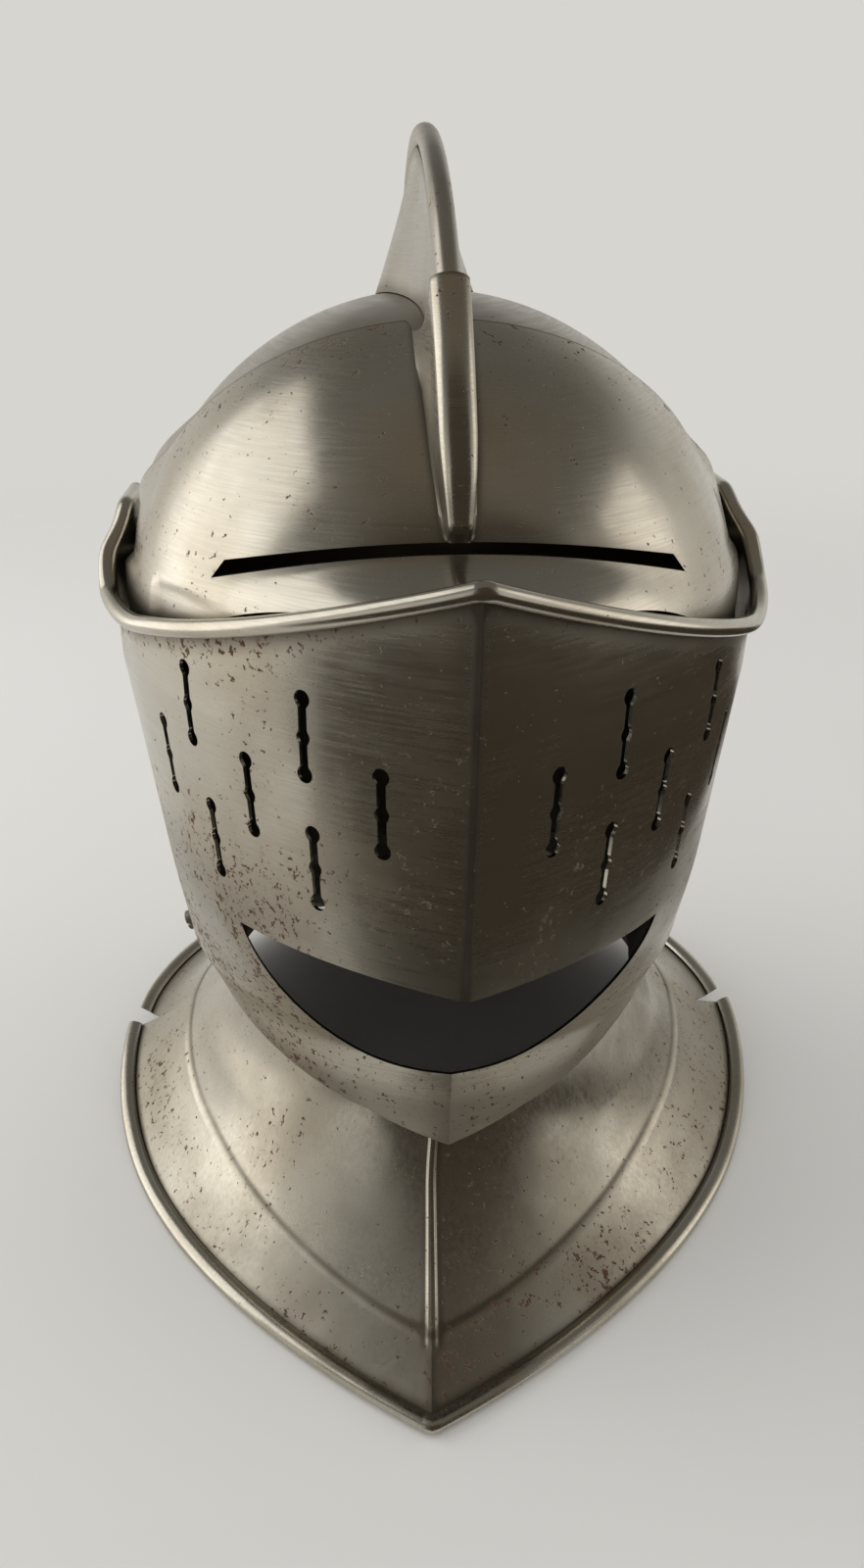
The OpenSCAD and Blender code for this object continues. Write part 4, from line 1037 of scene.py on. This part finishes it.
# %% Steel
def steel(name, colour, rough, stretch, amount=1.0):
    """Metal whose colour and roughness change with streaks, rust specks, and grime with painted shade."""
    material, tree = new_material(name)
    where = add(tree, "TexCoord").outputs["Object"]
    wear_and_shade = add(tree, "UVMap", uv_map="Wear").outputs["UV"]
    parts = add(tree, "SeparateXYZ", {0: wear_and_shade})
    grinding = add(tree, "Group", {"Vector": where, "Stretch": stretch}, node_tree=GRINDING)
    rusting = calc(tree, "MULTIPLY", parts.outputs["Y"], amount)
    rust = add(tree, "Group", {"Vector": where, "Amount": rusting}, node_tree=RUST)
    streaks, waves = grinding.outputs["Streaks"], grinding.outputs["Waves"]
    specks, stain = rust.outputs["Specks"], rust.outputs["Stain"]
    # Grime and painted shade from the map, broken up by the waves, darken the colour.
    dirt_and_shade = calc(tree, "MULTIPLY", parts.outputs["X"], band(tree, waves, 0.2, 0.6, 0.7, 1.0))
    tint = blend_colour(tree, band(tree, streaks, 0.3, 0.7), (*[c * 0.93 for c in colour], 1), (*colour, 1))
    for mask, part, other in ((stain, 0.5, STAIN_TINT), (dirt_and_shade, 0.85, GRIME_AND_SHADE_TINT), (specks, 1.0, SPECK_TINT)):
        tint = blend_colour(tree, calc(tree, "MULTIPLY", mask, part), tint, other)
    roughness = band(tree, streaks, 0.3, 0.7, rough + 0.08, rough)
    for mask, more in ((dirt_and_shade, 0.22), (stain, 0.1), (specks, 0.4)):
        roughness = calc(tree, "MULTIPLY_ADD", mask, more, roughness, clamped=True)
    height = calc(tree, "MULTIPLY_ADD", waves, 1.2, calc(tree, "MULTIPLY", streaks, 0.012))
    height = calc(tree, "MULTIPLY_ADD", specks, -0.12, height)
    bump = add(tree, "Bump", {"Height": height, "Strength": 1.0, "Distance": 0.0006})
    for label, value in (("Base Color", tint), ("Roughness", roughness), ("Normal", bump.outputs["Normal"]),
                         ("Metallic", band(tree, specks, 0, 1, 1.0, 0.3))):
        put(tree, tree.nodes["Principled BSDF"].inputs[label], value)
    print(name, "has", len(tree.nodes), "nodes")
    return material


STEEL = (0.58, 0.545, 0.465)
ACROSS, UPRIGHT, EVEN = (45.0, 45.0, 1500.0), (700.0, 700.0, 90.0), (300.0, 300.0, 300.0)
guard_steel = steel("ground steel", STEEL, 0.15, ACROSS)
visor_steel = steel("visor steel", STEEL, 0.16, ACROSS)
bowl_steel = steel("bowl steel", (0.56, 0.53, 0.47), 0.22, ACROSS)
gorget_steel = steel("gorget steel", STEEL, 0.17, UPRIGHT)
screw_steel = steel("screw steel", (0.36, 0.34, 0.31), 0.38, EVEN, 0.8)
wire_steel = steel("wire steel", (0.3, 0.28, 0.26), 0.45, EVEN, 0.8)

# %% Which piece gets which steel
def dress(piece, material):
    """Gives a piece one material."""
    piece.data.materials.clear()
    piece.data.materials.append(material)


for piece, material in ((skull, bowl_steel), (comb, bowl_steel), (crest_bead, bowl_steel),
                        (visor, visor_steel), (face_guard, guard_steel),
                        (gorget_front, gorget_steel), (gorget_rear, gorget_steel)):
    dress(piece, material)
for piece in list(bpy.data.objects):
    if piece.name.endswith("turned"):
        dress(piece, screw_steel)
for node in frame["nodes"].values():
    if not node.hide_render:
        dress(node, wire_steel)

# %% [markdown]
# The camera stands in front of the helmet and looks down on it at 25 degrees, from close by, which
# gives the strong perspective. From further off with a longer lens, the gorget would look wider than
# the face guard.

# %% Camera
PHOTO_W, PHOTO_H = 882, 1600
FOCAL_PX, CENTRE_X, SENSOR = 1250.0, 447.8, 36.0
AZIMUTH, PITCH, ROLL = 4.3, 25.0, -0.6
EYE = Vector((-30.95, -432.64, 350.0)) * MM

camera_data = bpy.data.cameras.new("camera")
camera_data.sensor_fit = "VERTICAL"
camera_data.sensor_height = SENSOR
camera_data.lens = SENSOR * FOCAL_PX / PHOTO_H
camera_data.shift_x = (PHOTO_W / 2 - CENTRE_X) / PHOTO_H
camera = linked("camera", camera_data)
forward = Vector((sind(AZIMUTH) * cosd(PITCH), cosd(AZIMUTH) * cosd(PITCH), -sind(PITCH)))
level = Vector((cosd(AZIMUTH), -sind(AZIMUTH), 0))
upward = level.cross(forward)
right = level * cosd(ROLL) + upward * sind(ROLL)
up = -level * sind(ROLL) + upward * cosd(ROLL)
camera.matrix_world = Matrix.Translation(EYE) @ Matrix((right, up, -forward)).transposed().to_4x4()
bpy.context.scene.camera = camera
print("lens", round(camera_data.lens, 2), "mm, from", [round(c, 3) for c in EYE])

# %% [markdown]
# Polished steel shows mostly what stands round it. Camera rays and rays that the metal sends out see
# a plain pale backdrop that grows dim overhead. Rays from matt surfaces see an even level instead. A
# picture of a real room could do this too, but plain tones can be set one by one.

# %% World
world = bpy.data.worlds.new("studio")
bpy.context.scene.world = world
world.use_nodes = True
tree = world.node_tree
tree.nodes.clear()
direction = add(tree, "TexCoord").outputs["Generated"]
height = add(tree, "SeparateXYZ", {0: direction}).outputs["Z"]
backdrop = add(tree, "Background", {"Color": (0.68, 0.665, 0.63, 1),
                                    "Strength": band(tree, height, 0.16, 0.7, 1.0, 0.22)})
even = add(tree, "Background", {"Color": (1, 0.99, 0.97, 1), "Strength": 0.7})
path = add(tree, "LightPath")
shown = path.outputs["Is Camera Ray"]
for ray in ("Is Glossy Ray", "Is Transmission Ray"):
    shown = calc(tree, "MAXIMUM", shown, path.outputs[ray])
seen = add(tree, "MixShader", {0: shown, 1: even.outputs[0], 2: backdrop.outputs[0]})
add(tree, "OutputWorld", {"Surface": seen.outputs[0]})
print("world has", len(tree.nodes), "nodes")

# %% [markdown]
# Two upright soft boxes stand at the sides, the larger one at -X. Brown cards in front take the place
# of a dark room behind the viewer. Only the metal sees the cards, so they shade nothing.

# %% Lamps
AIM = Vector((0, 0, 0.2))


def soft_box(name, turn, rise, distance, width, height, watts, colour):
    """An area lamp at a turn from -Y towards +X and a rise above the helmet's middle."""
    away = Vector((sind(turn) * cosd(rise), -cosd(turn) * cosd(rise), sind(rise)))
    data = bpy.data.lights.new(name, "AREA")
    data.shape, data.size, data.size_y = "RECTANGLE", width, height
    data.energy, data.color = watts, colour
    lamp = linked(name, data)
    lamp.location = AIM + distance * away
    lamp.rotation_euler = (-away).to_track_quat("-Z", "Y").to_euler()
    print("lamp", name, "at", [round(c, 2) for c in lamp.location])
    return lamp


lamps = [soft_box("window", -105, 20, 1.4, 1.25, 1.9, 10.0, (1, 0.985, 0.96)),
         soft_box("fill", 90, 16, 1.4, 0.6, 1.0, 1.6, (1, 0.95, 0.88))]

# %% Cards
def flat_sheet(name, corners, material):
    """One flat face through its corners."""
    mesh = bpy.data.meshes.new(name)
    mesh.from_pydata(corners, [], [tuple(range(len(corners)))])
    mesh.materials.append(material)
    return linked(name, mesh)


def glow(name, colour, strength):
    """A card that gives off one even tone."""
    material, tree = new_material(name)
    tree.nodes.clear()
    light = add(tree, "Emission", {"Color": (*colour, 1), "Strength": strength})
    add(tree, "OutputMaterial", {"Surface": light.outputs[0]})
    return material


dark = glow("dark card", (1.0, 0.8, 0.58), 0.05)
dim = glow("dim card", (1.0, 0.86, 0.68), 0.16)
floor_edge = [(-1.3, -1.0), (1.2, -1.0), (1.2, 0.4), (0.32, 0.4), (0.25, -0.03), (0.14, -0.19), (-0.2, -0.19),
              (-0.4, -0.22), (-0.85, -0.34), (-1.3, -0.46)]
cards = [flat_sheet("card_front", [(-0.9, -1.0, 0), (1.5, -1.0, 0), (1.5, -1.0, 1.7), (-0.9, -1.0, 1.7)],
                    dark),
         flat_sheet("card_floor", [(x, y, 0.001) for x, y in floor_edge], dark),
         flat_sheet("card_above", [(-0.7, -1.0, 1.7), (1.3, -1.0, 1.7), (1.1, 0.2, 1.9), (-0.6, 0.2, 1.9)],
                    dim)]
for card in cards:
    card.visible_camera = card.visible_diffuse = card.visible_shadow = False
print("cards:", [card.name for card in cards])

# %% Floor
FLOOR_HALF, FADE_FROM, FADE_TO = 2, 0.6, 1.6
floor_material, tree = new_material("floor")
paint = tree.nodes["Principled BSDF"]
for label, value in (("Base Color", (0.8, 0.79, 0.77, 1)), ("Roughness", 0.9)):
    put(tree, paint.inputs[label], value)
where = add(tree, "TexCoord").outputs["Object"]
away = add(tree, "VectorMath", {0: where}, operation="LENGTH").outputs["Value"]
clear = add(tree, "BsdfTransparent")
both = add(tree, "MixShader", {0: band(tree, away, FADE_FROM, FADE_TO), 1: paint.outputs[0],
                               2: clear.outputs[0]})
put(tree, tree.nodes["Material Output"].inputs["Surface"], both.outputs[0])
corners = [(x * FLOOR_HALF, y * FLOOR_HALF, 0) for x, y in ((-1, -1), (1, -1), (1, 1), (-1, 1))]
floor = flat_sheet("floor", corners, floor_material)
print("floor is", 2 * FLOOR_HALF, "m across")

# %% View settings
bpy.context.scene.view_settings.view_transform = "Standard"
